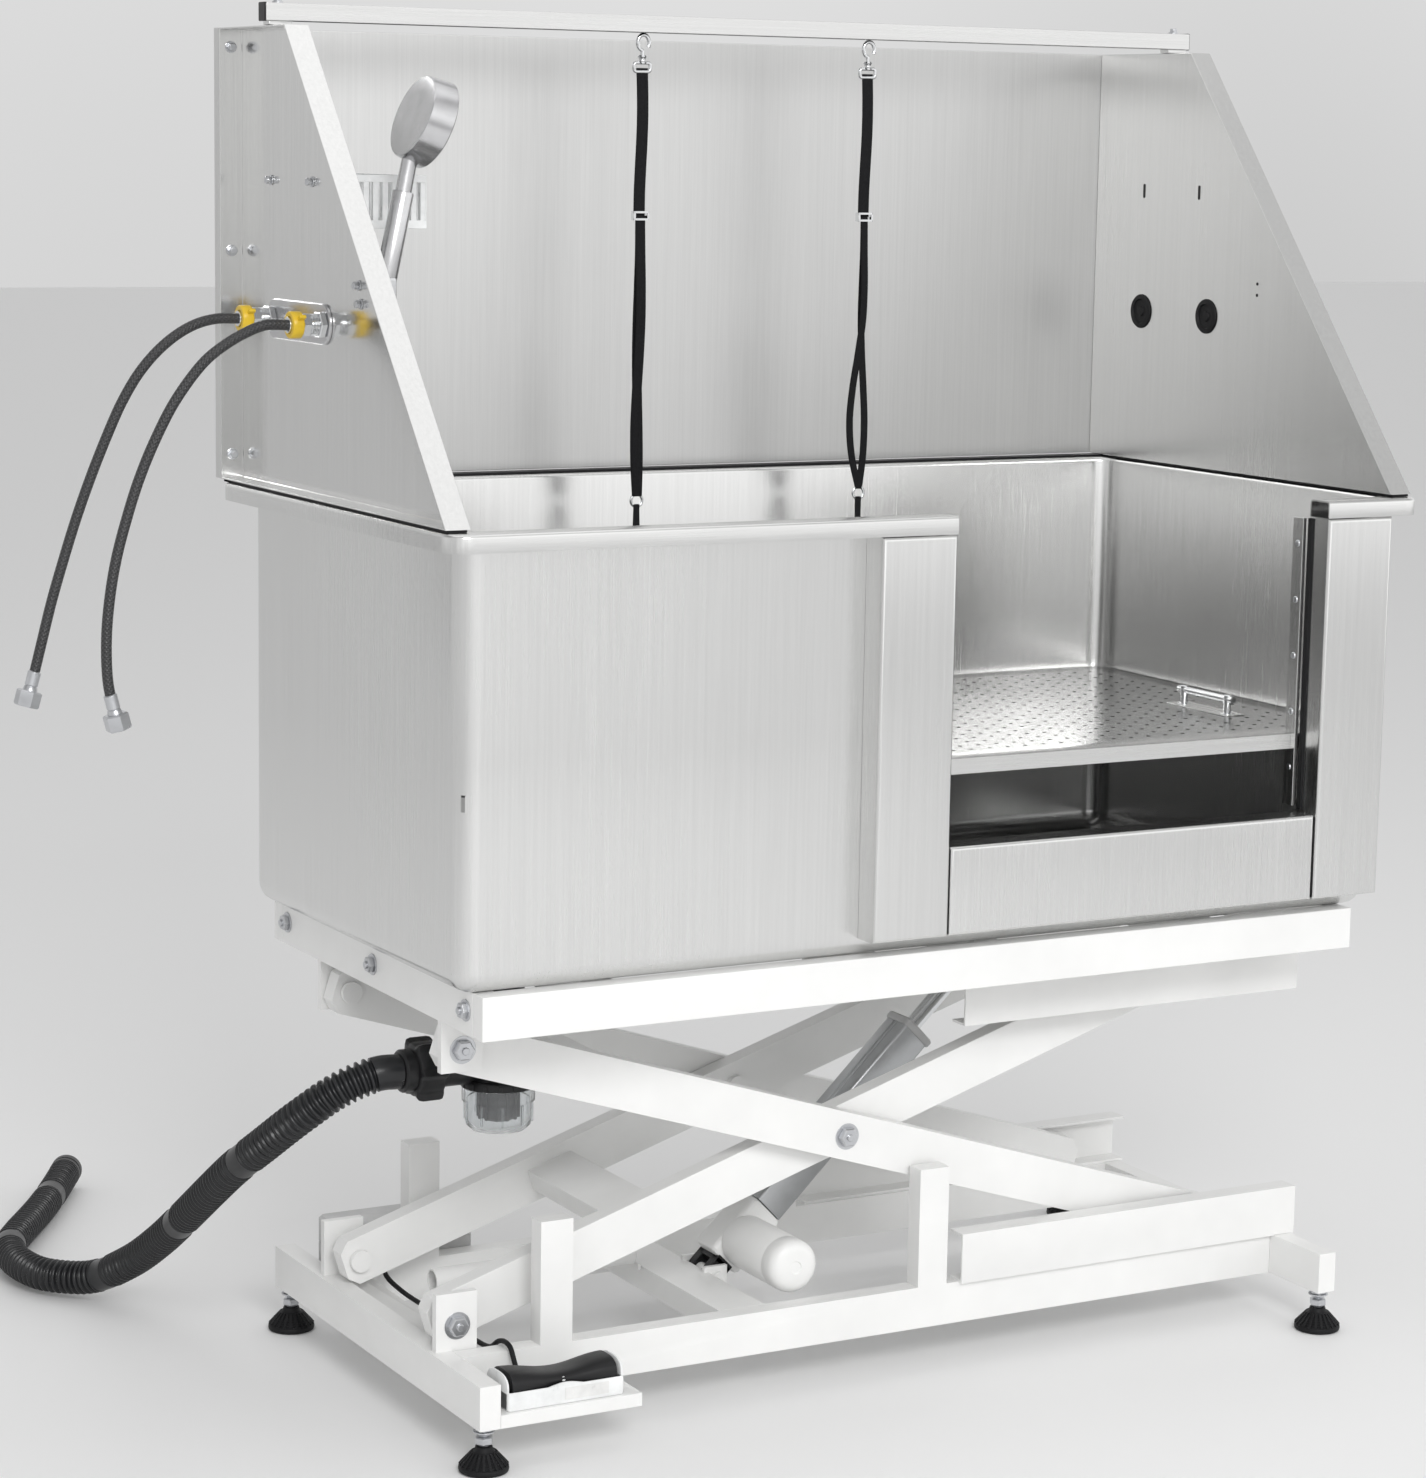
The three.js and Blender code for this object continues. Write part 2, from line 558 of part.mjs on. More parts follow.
function addUpper() {
  add("splash_left", sidePanel(-1), STAINLESS);
  add("splash_right", sidePanel(1), STAINLESS);
  add("splash_back", backPanel(), STAINLESS);
  add("overhead_bar", overheadBar(), STAINLESS);
  add("strap_left", strap(-152), WEBBING);
  add("strap_right", strap(160), WEBBING);
}

// ---- water fittings ----
function waterInlets() {
  const { rear, front, z, plate, end } = INLET;
  const wall = -SPLASH.face - SHEET - GAP;
  const middle = (rear + front) / 2;
  const pad = block(-plate, wall, middle - 70, middle + 70, z - 23, z + 23);
  const ends = [middle - 70, middle + 70].map((y) => round("x", [0, y, z], 23, -plate, wall, 24));
  const unions = [rear, front].flatMap((y) => [
    round("x", [0, y, z], 15, -end + 12, -plate + 1, 6),
    round("x", [0, y, z], 9, -end + GAP, -end + 13, 16),
  ]);
  return join(pad, ...ends, ...unions);
}

const REAR_HOSE = [
  [-652, 1224], [-676, 1224], [-699, 1219], [-722, 1208], [-746, 1190], [-770, 1164],
  [-791, 1131], [-811, 1089], [-830, 1044], [-847, 999], [-862, 954], [-876, 909], [-888, 864],
  [-898, 826], [-903, 808],
];
const FRONT_HOSE = [
  [-652, 1224], [-678, 1224], [-705, 1214], [-728, 1201], [-750, 1184], [-783, 1143],
  [-807, 1100], [-826, 1057], [-841, 1013], [-853, 970], [-861, 926], [-865, 882], [-864, 838],
  [-860, 815], [-856, 800],
];

function supplyHose(points, y) {
  return tube(points.map(([x, z]) => [x, y, z]), 6, 8, 28);
}

function hoseNut(points, y) {
  const [[ax, az], [bx, bz]] = points.slice(-2);
  const length = Math.hypot(bx - ax, bz - az);
  const [ux, uz] = [(bx - ax) / length, (bz - az) / length];
  const nut = new THREE.CylinderGeometry(15, 15, 20, 6).translate(0, 10 + GAP, 0);
  const turn = new THREE.Quaternion().setFromUnitVectors(
    new THREE.Vector3(0, 1, 0), new THREE.Vector3(ux, 0, uz));
  return solid(nut.applyQuaternion(turn).translate(bx, y, bz));
}

function mixerBody() {
  const { rear, front, z } = INLET;
  const face = -SPLASH.face + SHEET + GAP;
  const barrel = round("y", [-566, 0, z], 20, front - 22, rear + 22, 20);
  const stubs = [rear, front].map((y) => round("x", [0, y, z], 14, face - SHEET, -564, 16));
  const outlet = round("z", [-566, (rear + front) / 2, 0], 10, z - 34, z, 16);
  return join(barrel, ...stubs, outlet);
}

function mixerLever() {
  const { rear, front, z } = INLET;
  const y = (rear + front) / 2;
  const hub = round("z", [-566, y, 0], 17, z + 20 + GAP, z + 38, 20);
  return join(hub, block(-560, -500, y - 9, y + 9, z + 30, z + 37));
}

function handset() {
  const { x, y, z, lean, tilt } = HANDSET;
  const handle = round("z", [0, 0, 0], 11.5, -22, 168, 16);
  const disc = new THREE.CylinderGeometry(50, 40, 30, 28);
  const head = solid(disc.rotateX(Math.PI / 2).rotateY(Math.PI / 2 + tilt).translate(8, 0, 194));
  const leaned = geometryOf(join(handle, head)).rotateY(lean);
  return solid(leaned.translate(x, y, z));
}

function handsetHolder() {
  const { x, y, z } = HANDSET;
  const face = -SPLASH.face + GAP;
  const pad = block(face, x + 8, y - 20, y + 20, z - 18, z + 18);
  const slot = block(x - 22.5, x + 20, y - 13.5, y + 13.5, z - 30, z + 30);
  return cut(pad, slot);
}

function soapBasket() {
  const face = -SPLASH.face + GAP;
  const tray = block(face, -490, 58, 268, 1331, 1390);
  return cut(tray, block(face + 2, -492, 60, 266, 1333, 1391));
}

const SHOWER_HOSE = [
  [-566, 149, 1189.7], [-566, 149, 1165], [-565, 148, 1130], [-563, 146, 1080], [-560, 140, 1010],
  [-556, 126, 950], [-552, 100, 912], [-550, 64, 899], [-550, 28, 908], [-553, 2, 940],
  [-560, -12, 990], [-570, -18, 1050], [-580, -20, 1110], [-587, -20, 1165], [-588, -20, 1205],
  [-582, -20, 1235],
];

// ---- drain ----
function drainTrap() {
  const { x, y, top, outlet } = TRAP;
  const floorTop = BODY.bottom + SHEET;
  const stem = [
    [0, top + GAP], [38, top + GAP], [38, 424], [29, 436], [29, floorTop + GAP],
    [44, floorTop + GAP], [44, floorTop + 3], [0, floorTop + 3],
  ];
  const spout = round("x", [0, y, outlet], 21, -578, x - 20, 20);
  const nut = round("x", [0, y, outlet], 36, -562, -530, 12);
  return join(turned(stem, x, y), spout, nut);
}

function drainCup() {
  const { x, y, cup, top, radius } = TRAP;
  const bowl = [
    [0, cup], [30, cup], [radius, cup + 14], [radius, top],
    [radius - 2, top], [radius - 2, cup + 15], [29, cup + 2], [0, cup + 2],
  ];
  return turned(bowl, x, y);
}

const DRAIN_HOSE = [
  [-578.5, -70, 398], [-604, -70, 398], [-645, -60, 382], [-680, -30, 348], [-703, 22, 305],
  [-714, 80, 266], [-718, 140, 226], [-718, 200, 188], [-716, 260, 152], [-717, 320, 115],
  [-724, 380, 78], [-735, 422, 54],
];
const FLOOR_HOSE = [
  [-735.7, 424.6, 52.5], [-743, 449, 40], [-760, 478, 29.5], [-794, 524, 25.5], [-806, 568, 25.5],
  [-806, 614, 25.5], [-794, 660, 25.5], [-768, 706, 25.5], [-738, 752, 25.5], [-706, 802, 25.5],
  [-674, 856, 25.5], [-642, 914, 25.5], [-612, 970, 25.5],
];

function addFittings() {
  add("water_inlets", waterInlets(), CHROME);
  add("supply_hose_rear", supplyHose(REAR_HOSE, INLET.rear), BLACK);
  add("supply_hose_front", supplyHose(FRONT_HOSE, INLET.front), BLACK);
  add("hose_nut_rear", hoseNut(REAR_HOSE, INLET.rear), ZINC);
  add("hose_nut_front", hoseNut(FRONT_HOSE, INLET.front), ZINC);
  add("mixer_body", mixerBody(), CHROME);
  add("mixer_lever", mixerLever(), CHROME);
  add("shower_handset", handset(), CHROME);
  add("handset_holder", handsetHolder(), CHROME);
  add("shower_hose", tube(SHOWER_HOSE, 7, 8, 36), CHROME);
  add("soap_basket", soapBasket(), WHITE);
  add("drain_trap", drainTrap(), BLACK);
  add("drain_cup", drainCup(), CLEAR);
  add("drain_hose", tube(DRAIN_HOSE, 21, 10, 24), BLACK);
  add("drain_hose_floor", tube(FLOOR_HOSE, 21, 10, 24), BLACK);
}

addBase();
addControls();
addArms();
addActuator();
addPlatform();
addTub();
addUpper();
addFittings();

export default root;
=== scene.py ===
import json
from math import asin, copysign, cos, pi, radians, sin, tanh

import bmesh
import bpy
from mathutils import Matrix, Vector

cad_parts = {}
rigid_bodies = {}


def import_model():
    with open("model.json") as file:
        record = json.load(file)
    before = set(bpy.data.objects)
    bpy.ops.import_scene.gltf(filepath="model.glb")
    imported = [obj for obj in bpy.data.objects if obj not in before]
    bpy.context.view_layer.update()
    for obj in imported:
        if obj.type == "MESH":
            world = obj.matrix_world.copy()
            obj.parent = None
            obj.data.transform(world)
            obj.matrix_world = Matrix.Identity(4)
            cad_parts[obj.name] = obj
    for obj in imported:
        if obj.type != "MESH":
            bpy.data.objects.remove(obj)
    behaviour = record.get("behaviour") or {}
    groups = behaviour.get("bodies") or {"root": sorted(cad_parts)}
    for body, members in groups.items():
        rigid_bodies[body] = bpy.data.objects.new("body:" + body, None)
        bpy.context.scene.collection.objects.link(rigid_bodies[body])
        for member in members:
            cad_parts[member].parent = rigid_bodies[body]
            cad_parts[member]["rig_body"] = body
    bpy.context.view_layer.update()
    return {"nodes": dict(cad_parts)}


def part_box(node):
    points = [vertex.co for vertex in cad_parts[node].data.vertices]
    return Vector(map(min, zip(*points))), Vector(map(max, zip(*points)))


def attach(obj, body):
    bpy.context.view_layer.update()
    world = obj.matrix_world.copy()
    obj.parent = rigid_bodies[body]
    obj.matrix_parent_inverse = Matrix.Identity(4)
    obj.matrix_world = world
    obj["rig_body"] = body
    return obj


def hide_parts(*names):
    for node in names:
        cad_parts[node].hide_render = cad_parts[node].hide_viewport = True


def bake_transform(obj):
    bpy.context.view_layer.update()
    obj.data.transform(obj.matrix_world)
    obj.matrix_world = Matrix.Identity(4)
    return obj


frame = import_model()

MM = 0.001
Y_MIDDLE = 8.5  # the rim's middle from the frame's origin, towards the door
SCENE = bpy.context.scene


def at(x, y, z):
    """A drawing point in millimetres as a frame point in metres."""
    return Vector((x, y - Y_MIDDLE, z)) * MM


def drawn(node):
    """A CAD node's lowest and highest corner, in drawing millimetres."""
    low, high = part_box(node)
    return [Vector((p.x / MM, p.y / MM + Y_MIDDLE, p.z / MM)) for p in (low, high)]


# ---- places and sizes ----
RIM_HIGH = drawn("tub_right_wall")[1]
FRONT_LOW, BACK_HIGH = drawn("tub_front_wall")[0], drawn("tub_back_wall")[1]
DOOR_LOW, DOOR_HIGH = drawn("door_surround")
GRATE_LOW, GRATE_HIGH = drawn("floor_grate")
LEFT_LOW, LEFT_HIGH = drawn("splash_left")
RIGHT_LOW = drawn("splash_right")[0]
BACK_LOW = drawn("splash_back")[0]
BAR_LOW, BAR_HIGH = drawn("overhead_bar")
PEDAL_LOW, PEDAL_HIGH = drawn("pedal_housing")
ROCKER_TOP = drawn("pedal_rocker")[1].z
BOX_LOW, BOX_HIGH = drawn("control_box")
CUP_LOW, CUP_HIGH = drawn("drain_cup")
BASKET_LOW, BASKET_HIGH = drawn("soap_basket")

LIFT_Y = -8.0
RIM_OVER = Vector((27, 34))  # how far the rim stands out past the walls
SHEET = 2.0
DOORWAY = {"left": -18, "right": 495, "sill": 655}
GRATE_TOP = 749
INLETS = {"rear": 224, "front": 74, "z": 1224}
TRAP = {"x": -454, "y": -70, "outlet": 398}
PIVOT = {"x": -551, "low": 128, "high": 445}
ARM_LENGTH = 1050.9
LIFT_ANGLE = asin((PIVOT["high"] - PIVOT["low"]) / ARM_LENGTH)
CENTRE = (
    PIVOT["x"] + ARM_LENGTH / 2 * cos(LIFT_ANGLE),
    (PIVOT["low"] + PIVOT["high"]) / 2,
)
ROLLER_X = PIVOT["x"] + ARM_LENGTH * cos(LIFT_ANGLE)
ACTUATOR = {"x": -148, "z": 92, "angle": radians(43.9), "length": 505}
HANDSET = {"x": -577, "y": -20, "z": 1262, "lean": radians(12), "tilt": radians(9)}


# ---- materials ----
class Finish:
    """One procedural material: a Principled shader fed by noises in the frame's own metres."""

    def __init__(self, name, color, roughness, **shader):
        self.material = bpy.data.materials.new(name)
        self.material.use_nodes = True
        self.tree = self.material.node_tree
        self.shader = self.tree.nodes["Principled BSDF"]
        self.shader.inputs["Base Color"].default_value = (*color, 1)
        self.shader.inputs["Roughness"].default_value = roughness
        for key, value in shader.items():
            self.shader.inputs[key.replace("_", " ")].default_value = value
        self.color = color

    def node(self, kind, **settings):
        made = self.tree.nodes.new(kind)
        for key, value in settings.items():
            setattr(made, key, value)
        return made

    def link(self, a, b):
        self.tree.links.new(a, b)

    def place(self, scale, source="Object"):
        coordinates = self.node("ShaderNodeTexCoord")
        mapping = self.node("ShaderNodeMapping")
        mapping.inputs["Scale"].default_value = scale
        self.link(coordinates.outputs[source], mapping.inputs["Vector"])
        return mapping.outputs["Vector"]

    def noise(self, scale, detail=3, roughness=0.55, source="Object"):
        made = self.node("ShaderNodeTexNoise")
        made.inputs["Scale"].default_value = 1
        made.inputs["Detail"].default_value = detail
        made.inputs["Roughness"].default_value = roughness
        self.link(self.place(scale, source), made.inputs["Vector"])
        return made.outputs["Fac"]

    def spread(self, value, low, high):
        """A 0 to 1 texture as a number from low to high."""
        made = self.node("ShaderNodeMapRange")
        made.inputs["From Min"].default_value = 0.3
        made.inputs["From Max"].default_value = 0.7
        made.inputs["To Min"].default_value = low
        made.inputs["To Max"].default_value = high
        self.link(value, made.inputs["Value"])
        return made.outputs["Result"]

    def sum(self, a, b):
        made = self.node("ShaderNodeMath", operation="ADD")
        self.link(a, made.inputs[0])
        self.link(b, made.inputs[1])
        return made.outputs[0]

    def product(self, a, b):
        made = self.node("ShaderNodeMath", operation="MULTIPLY")
        self.link(a, made.inputs[0])
        self.link(b, made.inputs[1])
        return made.outputs[0]

    def shade(self, value, dark, light):
        """Colours the surface between two tones of its own colour."""
        ramp = self.node("ShaderNodeValToRGB")
        first, last = ramp.color_ramp.elements
        first.position, last.position = 0.3, 0.7
        first.color = (*[c * dark for c in self.color], 1)
        last.color = (*[min(1, c * light) for c in self.color], 1)
        self.link(value, ramp.inputs["Fac"])
        self.link(ramp.outputs["Color"], self.shader.inputs["Base Color"])

    def rough(self, value):
        self.link(value, self.shader.inputs["Roughness"])

    def bump(self, height, strength, distance):
        made = self.node("ShaderNodeBump")
        made.inputs["Strength"].default_value = strength
        made.inputs["Distance"].default_value = distance
        self.link(height, made.inputs["Height"])
        self.link(made.outputs["Normal"], self.shader.inputs["Normal"])


def brushed(name, grain, tone=0.76, roughness=0.25):
    """Stainless sheet with its grain along one axis: fine lines, broader streaks and soft clouds."""
    finish = Finish(name, (tone, tone, tone * 0.992), roughness, Metallic=1.0)
    fine = [850.0, 850.0, 850.0]
    broad = [260.0, 260.0, 260.0]
    fine[grain], broad[grain] = 11.0, 3.0
    lines = finish.noise(fine, 4, 0.7)
    streaks = finish.noise(broad, 3, 0.6)
    clouds = finish.noise((2.1, 2.1, 1.3), 2, 0.5)
    blend = finish.product(finish.sum(lines, streaks), finish.spread(clouds, 0.46, 0.54))
    finish.shade(blend, 0.92, 1.03)
    grainy = finish.spread(lines, roughness - 0.03, roughness + 0.04)
    finish.rough(finish.sum(grainy, finish.spread(clouds, -0.03, 0.04)))
    finish.bump(lines, 0.07, 0.0004)
    return finish.material


def powder_coat():
    finish = Finish("white_powder_coat", (0.86, 0.86, 0.85), 0.38, Coat_Weight=0.15)
    peel = finish.noise((650, 650, 650), 2, 0.5)
    patches = finish.noise((9, 9, 9), 3, 0.6)
    finish.shade(patches, 0.96, 1.02)
    finish.rough(finish.spread(patches, 0.32, 0.44))
    finish.bump(peel, 0.12, 0.0004)
    return finish.material


def plated(name, color, roughness, wear=0.06):
    finish = Finish(name, color, roughness, Metallic=1.0)
    smudges = finish.noise((45, 45, 45), 4, 0.6)
    finish.shade(smudges, 0.93, 1.04)
    finish.rough(finish.spread(smudges, roughness, roughness + wear))
    finish.bump(finish.noise((900, 900, 900), 2), 0.03, 0.0002)
    return finish.material


def moulded(name, color, roughness, grain=0.12, **shader):
    finish = Finish(name, color, roughness, **shader)
    pores = finish.noise((1100, 1100, 1100), 2)
    dust = finish.noise((26, 26, 26), 4, 0.6)
    finish.shade(dust, 0.86, 1.12)
    finish.rough(finish.spread(dust, roughness - 0.05, roughness + 0.08))
    finish.bump(pores, grain, 0.0003)
    return finish.material


def braided():
    """A black sleeve: two sets of threads crossing along the hose."""
    finish = Finish("braided_sleeve", (0.018, 0.018, 0.019), 0.36, Specular_IOR_Level=0.6)
    waves = []
    for lean in (1, -1):
        mapping = finish.node("ShaderNodeMapping")
        mapping.inputs["Rotation"].default_value = (0, 0, lean * 0.7)
        coordinates = finish.node("ShaderNodeTexCoord")
        finish.link(coordinates.outputs["UV"], mapping.inputs["Vector"])
        wave = finish.node("ShaderNodeTexWave")
        wave.inputs["Scale"].default_value = 95
        wave.inputs["Distortion"].default_value = 0.15
        finish.link(mapping.outputs["Vector"], wave.inputs["Vector"])
        waves.append(wave.outputs["Fac"])
    weave = finish.sum(*waves)
    finish.shade(finish.spread(weave, 0.1, 0.6), 0.4, 2.4)
    finish.bump(weave, 0.55, 0.0007)
    return finish.material


def woven():
    """Nylon webbing: ribs across, threads along."""
    finish = Finish("nylon_webbing", (0.007, 0.007, 0.008), 0.78, Specular_IOR_Level=0.2)
    ribs = finish.node("ShaderNodeTexWave", bands_direction="Z")
    ribs.inputs["Scale"].default_value = 190
    finish.link(finish.place((1, 1, 1)), ribs.inputs["Vector"])
    threads = finish.noise((1500, 1500, 400), 2)
    finish.shade(threads, 0.7, 1.7)
    finish.bump(finish.sum(ribs.outputs["Fac"], threads), 0.4, 0.0005)
    return finish.material


def clear_plastic():
    finish = Finish("clear_plastic", (0.93, 0.95, 0.96), 0.06, Transmission_Weight=0.92, IOR=1.35)
    finish.bump(finish.noise((60, 60, 60), 2), 0.05, 0.0006)
    return finish.material


STEEL_UP = brushed("stainless_grain_up", 2)
STEEL_X = brushed("stainless_grain_along", 0)
STEEL_Y = brushed("stainless_grain_across", 1)
STEEL_BACK = brushed("stainless_back_panel", 2, 0.7, 0.42)
STEEL_SIDE = brushed("stainless_side_panel", 2, 0.76, 0.15)
# Nearly black steel for the grate's hole walls: painted shade inside the holes.
STEEL_HOLE_SHADE = brushed("stainless_hole_wall_shade", 2, 0.06, 0.5)
STEEL_GRATE = brushed("stainless_grate", 0, 0.4, 0.2)
WHITE = powder_coat()
ZINC = plated("zinc_plate", (0.58, 0.59, 0.61), 0.27)
CHROME = plated("polished_chrome", (0.74, 0.75, 0.76), 0.07)
SATIN = plated("satin_chrome", (0.6, 0.6, 0.61), 0.2)
ALUMINIUM = plated("anodised_aluminium", (0.5, 0.51, 0.52), 0.34)
BLACK = moulded("black_plastic", (0.01, 0.01, 0.011), 0.36, Specular_IOR_Level=0.35)
HOSE_GREY = moulded("drain_hose_plastic", (0.012, 0.0125, 0.014), 0.3, Specular_IOR_Level=0.45)
RUBBER = moulded("black_rubber", (0.008, 0.008, 0.009), 0.55, 0.25, Specular_IOR_Level=0.25)
GREY = moulded("grey_plastic", (0.55, 0.55, 0.55), 0.42)
WHITE_PLASTIC = moulded("white_plastic", (0.83, 0.84, 0.84), 0.3, 0.05)
YELLOW = moulded("yellow_plastic", (0.82, 0.55, 0.03), 0.34, 0.08)
LABEL = moulded("printed_label", (0.78, 0.78, 0.77), 0.3, 0.02)
BRAID = braided()
WEBBING = woven()
CLEAR = clear_plastic()


# ---- shapes ----
class Shape:
    """Points and faces gathered in drawing millimetres."""

    def __init__(self):
        self.points, self.faces = [], []

    def add(self, points, faces, matrix=None):
        start = len(self.points)
        moved = [matrix @ Vector(p) if matrix else Vector(p) for p in points]
        self.points += moved
        self.faces += [[start + i for i in face] for face in faces]
        return self

    def loft(self, loops, matrix=None, ends=(True, True), closed=False):
        """Joins loops that have the same number of points."""
        n = len(loops[0])
        faces = []
        for row in range(len(loops) if closed else len(loops) - 1):
            a, b = row * n, (row + 1) % len(loops) * n
            faces += [[a + i, a + (i + 1) % n, b + (i + 1) % n, b + i] for i in range(n)]
        if ends[0] and not closed:
            faces.append(list(range(n))[::-1])
        if ends[1] and not closed:
            faces.append([(len(loops) - 1) * n + i for i in range(n)])
        return self.add([p for loop in loops for p in loop], faces, matrix)

    def box(self, x0, x1, y0, y1, z0, z1, matrix=None):
        loops = [[(x0, y0, z), (x1, y0, z), (x1, y1, z), (x0, y1, z)] for z in (z0, z1)]
        return self.loft(loops, matrix)

    def turned(self, profile, matrix=None, sides=32, closed=False):
        """A turned body round its own Z: the profile is [radius, height] from bottom to top."""
        turns = [2 * pi * i / sides for i in range(sides)]
        loops = [[(r * cos(t), r * sin(t), z) for t in turns] for r, z in profile]
        return self.loft(loops, matrix, closed=closed)

    def prism(self, outline, low, high, matrix=None):
        return self.loft([[(x, y, z) for x, y in outline] for z in (low, high)], matrix)

    def hexes(self, rings, matrix=None, ends=(True, True)):
        """A six-sided body round its own Z, from [radius to a corner, height] pairs."""
        turns = [pi * i / 3 for i in range(6)]
        loops = [[(r * cos(t), r * sin(t), z) for t in turns] for r, z in rings]
        return self.loft(loops, matrix, ends)

    def sweep(self, line, radius, sides=16):
        """A tube along a line; radius is a number or a function of the length so far."""
        loops, travelled = [], 0.0
        side = None
        for i, p in enumerate(line):
            ahead = (line[min(i + 1, len(line) - 1)] - line[max(i - 1, 0)]).normalized()
            side = side or ahead.orthogonal()
            side = (side - ahead * side.dot(ahead)).normalized()
            other = ahead.cross(side)
            travelled += (p - line[i - 1]).length if i else 0
            r = radius(travelled) if callable(radius) else radius
            turns = [2 * pi * k / sides for k in range(sides)]
            loops.append([p + side * (r * cos(t)) + other * (r * sin(t)) for t in turns])
        return self.loft(loops)


def facing(x, y, z, direction):
    """Puts local Z along a direction, at a drawing point."""
    turn = Vector(direction).to_track_quat("Z", "Y").to_matrix().to_4x4()
    return placed(x, y, z) @ turn


def placed(x, y, z):
    """Moves local points to a drawing point, unturned."""
    return Matrix.Translation((x, y, z))


def evenly(count, span=1.0):
    """Even steps from nought to the span, both ends included."""
    return [span * i / count for i in range(count + 1)]


def around(put, count):
    """The same placing turned to each of a count of even steps about its own Z."""
    return [put @ Matrix.Rotation(2 * pi * i / count, 4, "Z") for i in range(count)]


def rounded(half_x, half_y, radius, steps=6):
    """A rectangle's outline with round corners."""
    outline = []
    for quarter, (sx, sy) in enumerate([(1, 1), (-1, 1), (-1, -1), (1, -1)]):
        cx, cy = sx * (half_x - radius), sy * (half_y - radius)
        for i in range(steps + 1):
            turn = pi / 2 * (quarter + i / steps)
            outline.append((cx + radius * cos(turn), cy + radius * sin(turn)))
    return outline


def show(name, shape, body, material, stands_for=(), edge=0.0, smooth=32, uv=None):
    """Makes a piece from a shape: bevels its edges, smooths it, and rides it on its body."""
    mesh = bpy.data.meshes.new(name)
    mesh.from_pydata([at(*p) for p in shape.points], [], shape.faces)
    return dress(name, mesh, body, material, stands_for, edge, smooth, uv)


def dress(name, mesh, body, material, stands_for=(), edge=0.0, smooth=32, uv=None):
    bm = bmesh.new()
    bm.from_mesh(mesh)
    bmesh.ops.recalc_face_normals(bm, faces=bm.faces)
    bm.to_mesh(mesh)
    bm.free()
    mesh.polygons.foreach_set("use_smooth", [True] * len(mesh.polygons))
    mesh.set_sharp_from_angle(angle=radians(smooth))
    mesh.materials.clear()
    mesh.materials.append(material)
    if uv:
        layer = mesh.uv_layers.new(name="along")
        for loop in mesh.loops:
            layer.data[loop.index].uv = uv[loop.vertex_index]
    piece = bpy.data.objects.new(name, mesh)
    SCENE.collection.objects.link(piece)
    if edge:
        bevel = piece.modifiers.new("edges", "BEVEL")
        bevel.width = edge * MM
        bevel.segments = 2
        bevel.limit_method = "ANGLE"
        bevel.angle_limit = radians(38)
        bevel.harden_normals = True
    if body:
        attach(piece, body)
    if stands_for:
        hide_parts(*stands_for)
    return piece


def finished(node, material, edge=2.0):
    """A CAD node's own shape with rounded edges, standing for it."""
    source = frame["nodes"][node]
    bm = bmesh.new()
    bm.from_mesh(source.data)
    bmesh.ops.remove_doubles(bm, verts=bm.verts, dist=2e-6)
    flat = radians(1)
    bmesh.ops.dissolve_limit(bm, angle_limit=flat, verts=bm.verts, edges=bm.edges)
    mesh = bpy.data.meshes.new(node + "_finished")
    bm.to_mesh(mesh)
    bm.free()
    return dress(node + "_finished", mesh, source["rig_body"], material, [node], edge)


def smoothed(points, step):
    """The smooth curve through a route's points, as points a step apart."""
    p = [Vector(q) for q in points]
    p = [2 * p[0] - p[1], *p, 2 * p[-1] - p[-2]]
    fine = []
    for a, b, c, d in zip(p, p[1:], p[2:], p[3:]):
        t0, t1, t2 = [(v - u).length ** 0.5 for u, v in ((a, b), (b, c), (c, d))]
        m1 = ((b - a) / t0 - (c - a) / (t0 + t1) + (c - b) / t1) * t1
        m2 = ((c - b) / t1 - (d - b) / (t1 + t2) + (d - c) / t2) * t1
        for i in range(16):
            s = i / 16
            near, far = 2 * s**3 - 3 * s**2 + 1, 3 * s**2 - 2 * s**3
            fine.append(near * b + far * c + (s**3 - 2 * s**2 + s) * m1 + (s**3 - s**2) * m2)
    fine.append(p[-2])
    length = sum((v - u).length for u, v in zip(fine, fine[1:]))
    spacing = length / max(2, round(length / step))
    line, gone = [fine[0]], 0.0
    for u, v in zip(fine, fine[1:]):
        reach = (v - u).length
        while gone + reach >= spacing * len(line) and len(line) * spacing < length - 1e-6:
            line.append(u.lerp(v, (spacing * len(line) - gone) / reach))
        gone += reach
    line.append(fine[-1])
    return line


def hose(name, route, radius, body, material, nodes, far_end, step=3.0, sides=16, **facts):
    """A free hose or cord swept along its route."""
    line = smoothed(route, step)
    shape = Shape().sweep(line, radius, sides)
    travelled, uv = 0.0, []
    for i, p in enumerate(line):
        travelled += (p - line[i - 1]).length if i else 0
        around = 2 * facts["diameter"]
        uv += [(around * 1.57 * k / sides, travelled * MM) for k in range(sides)]
    piece = show(name, shape, body, material, nodes, uv=uv, smooth=60)
    return piece


# ---- base, arms and platform ----
def steelwork():
    for node in (
        "base_left_end", "base_right_end", "base_front_rail", "base_rear_rail",
        "base_mid_member", "inner_arm_front", "inner_arm_rear", "outer_arm_front",
        "outer_arm_rear", "platform_front", "platform_rear", "platform_left",
        "platform_right", "platform_cross_frame",
    ):
        finished(node, WHITE, 1.6 if "platform" in node else 2.0)


def hex_head(shape, x, y, z, direction, radius=9.5, thick=6.5, washer=True):
    """A hex head on its washer, with the end of the shank."""
    put = facing(x, y, z, direction)
    lift = 1.8 if washer else 0
    if washer:
        shape.turned([(4, 0), (radius * 1.28, 0), (radius * 1.28, 1.8), (4, 1.8)], put, 28)
    end = lift + thick
    shape.hexes([(radius, lift), (radius, lift + thick * 0.75), (radius * 0.84, end)], put)
    shape.turned([(4.4, end - 1), (4.4, end + 1.6), (3.6, end + 2.4)], put, 18)
    return shape


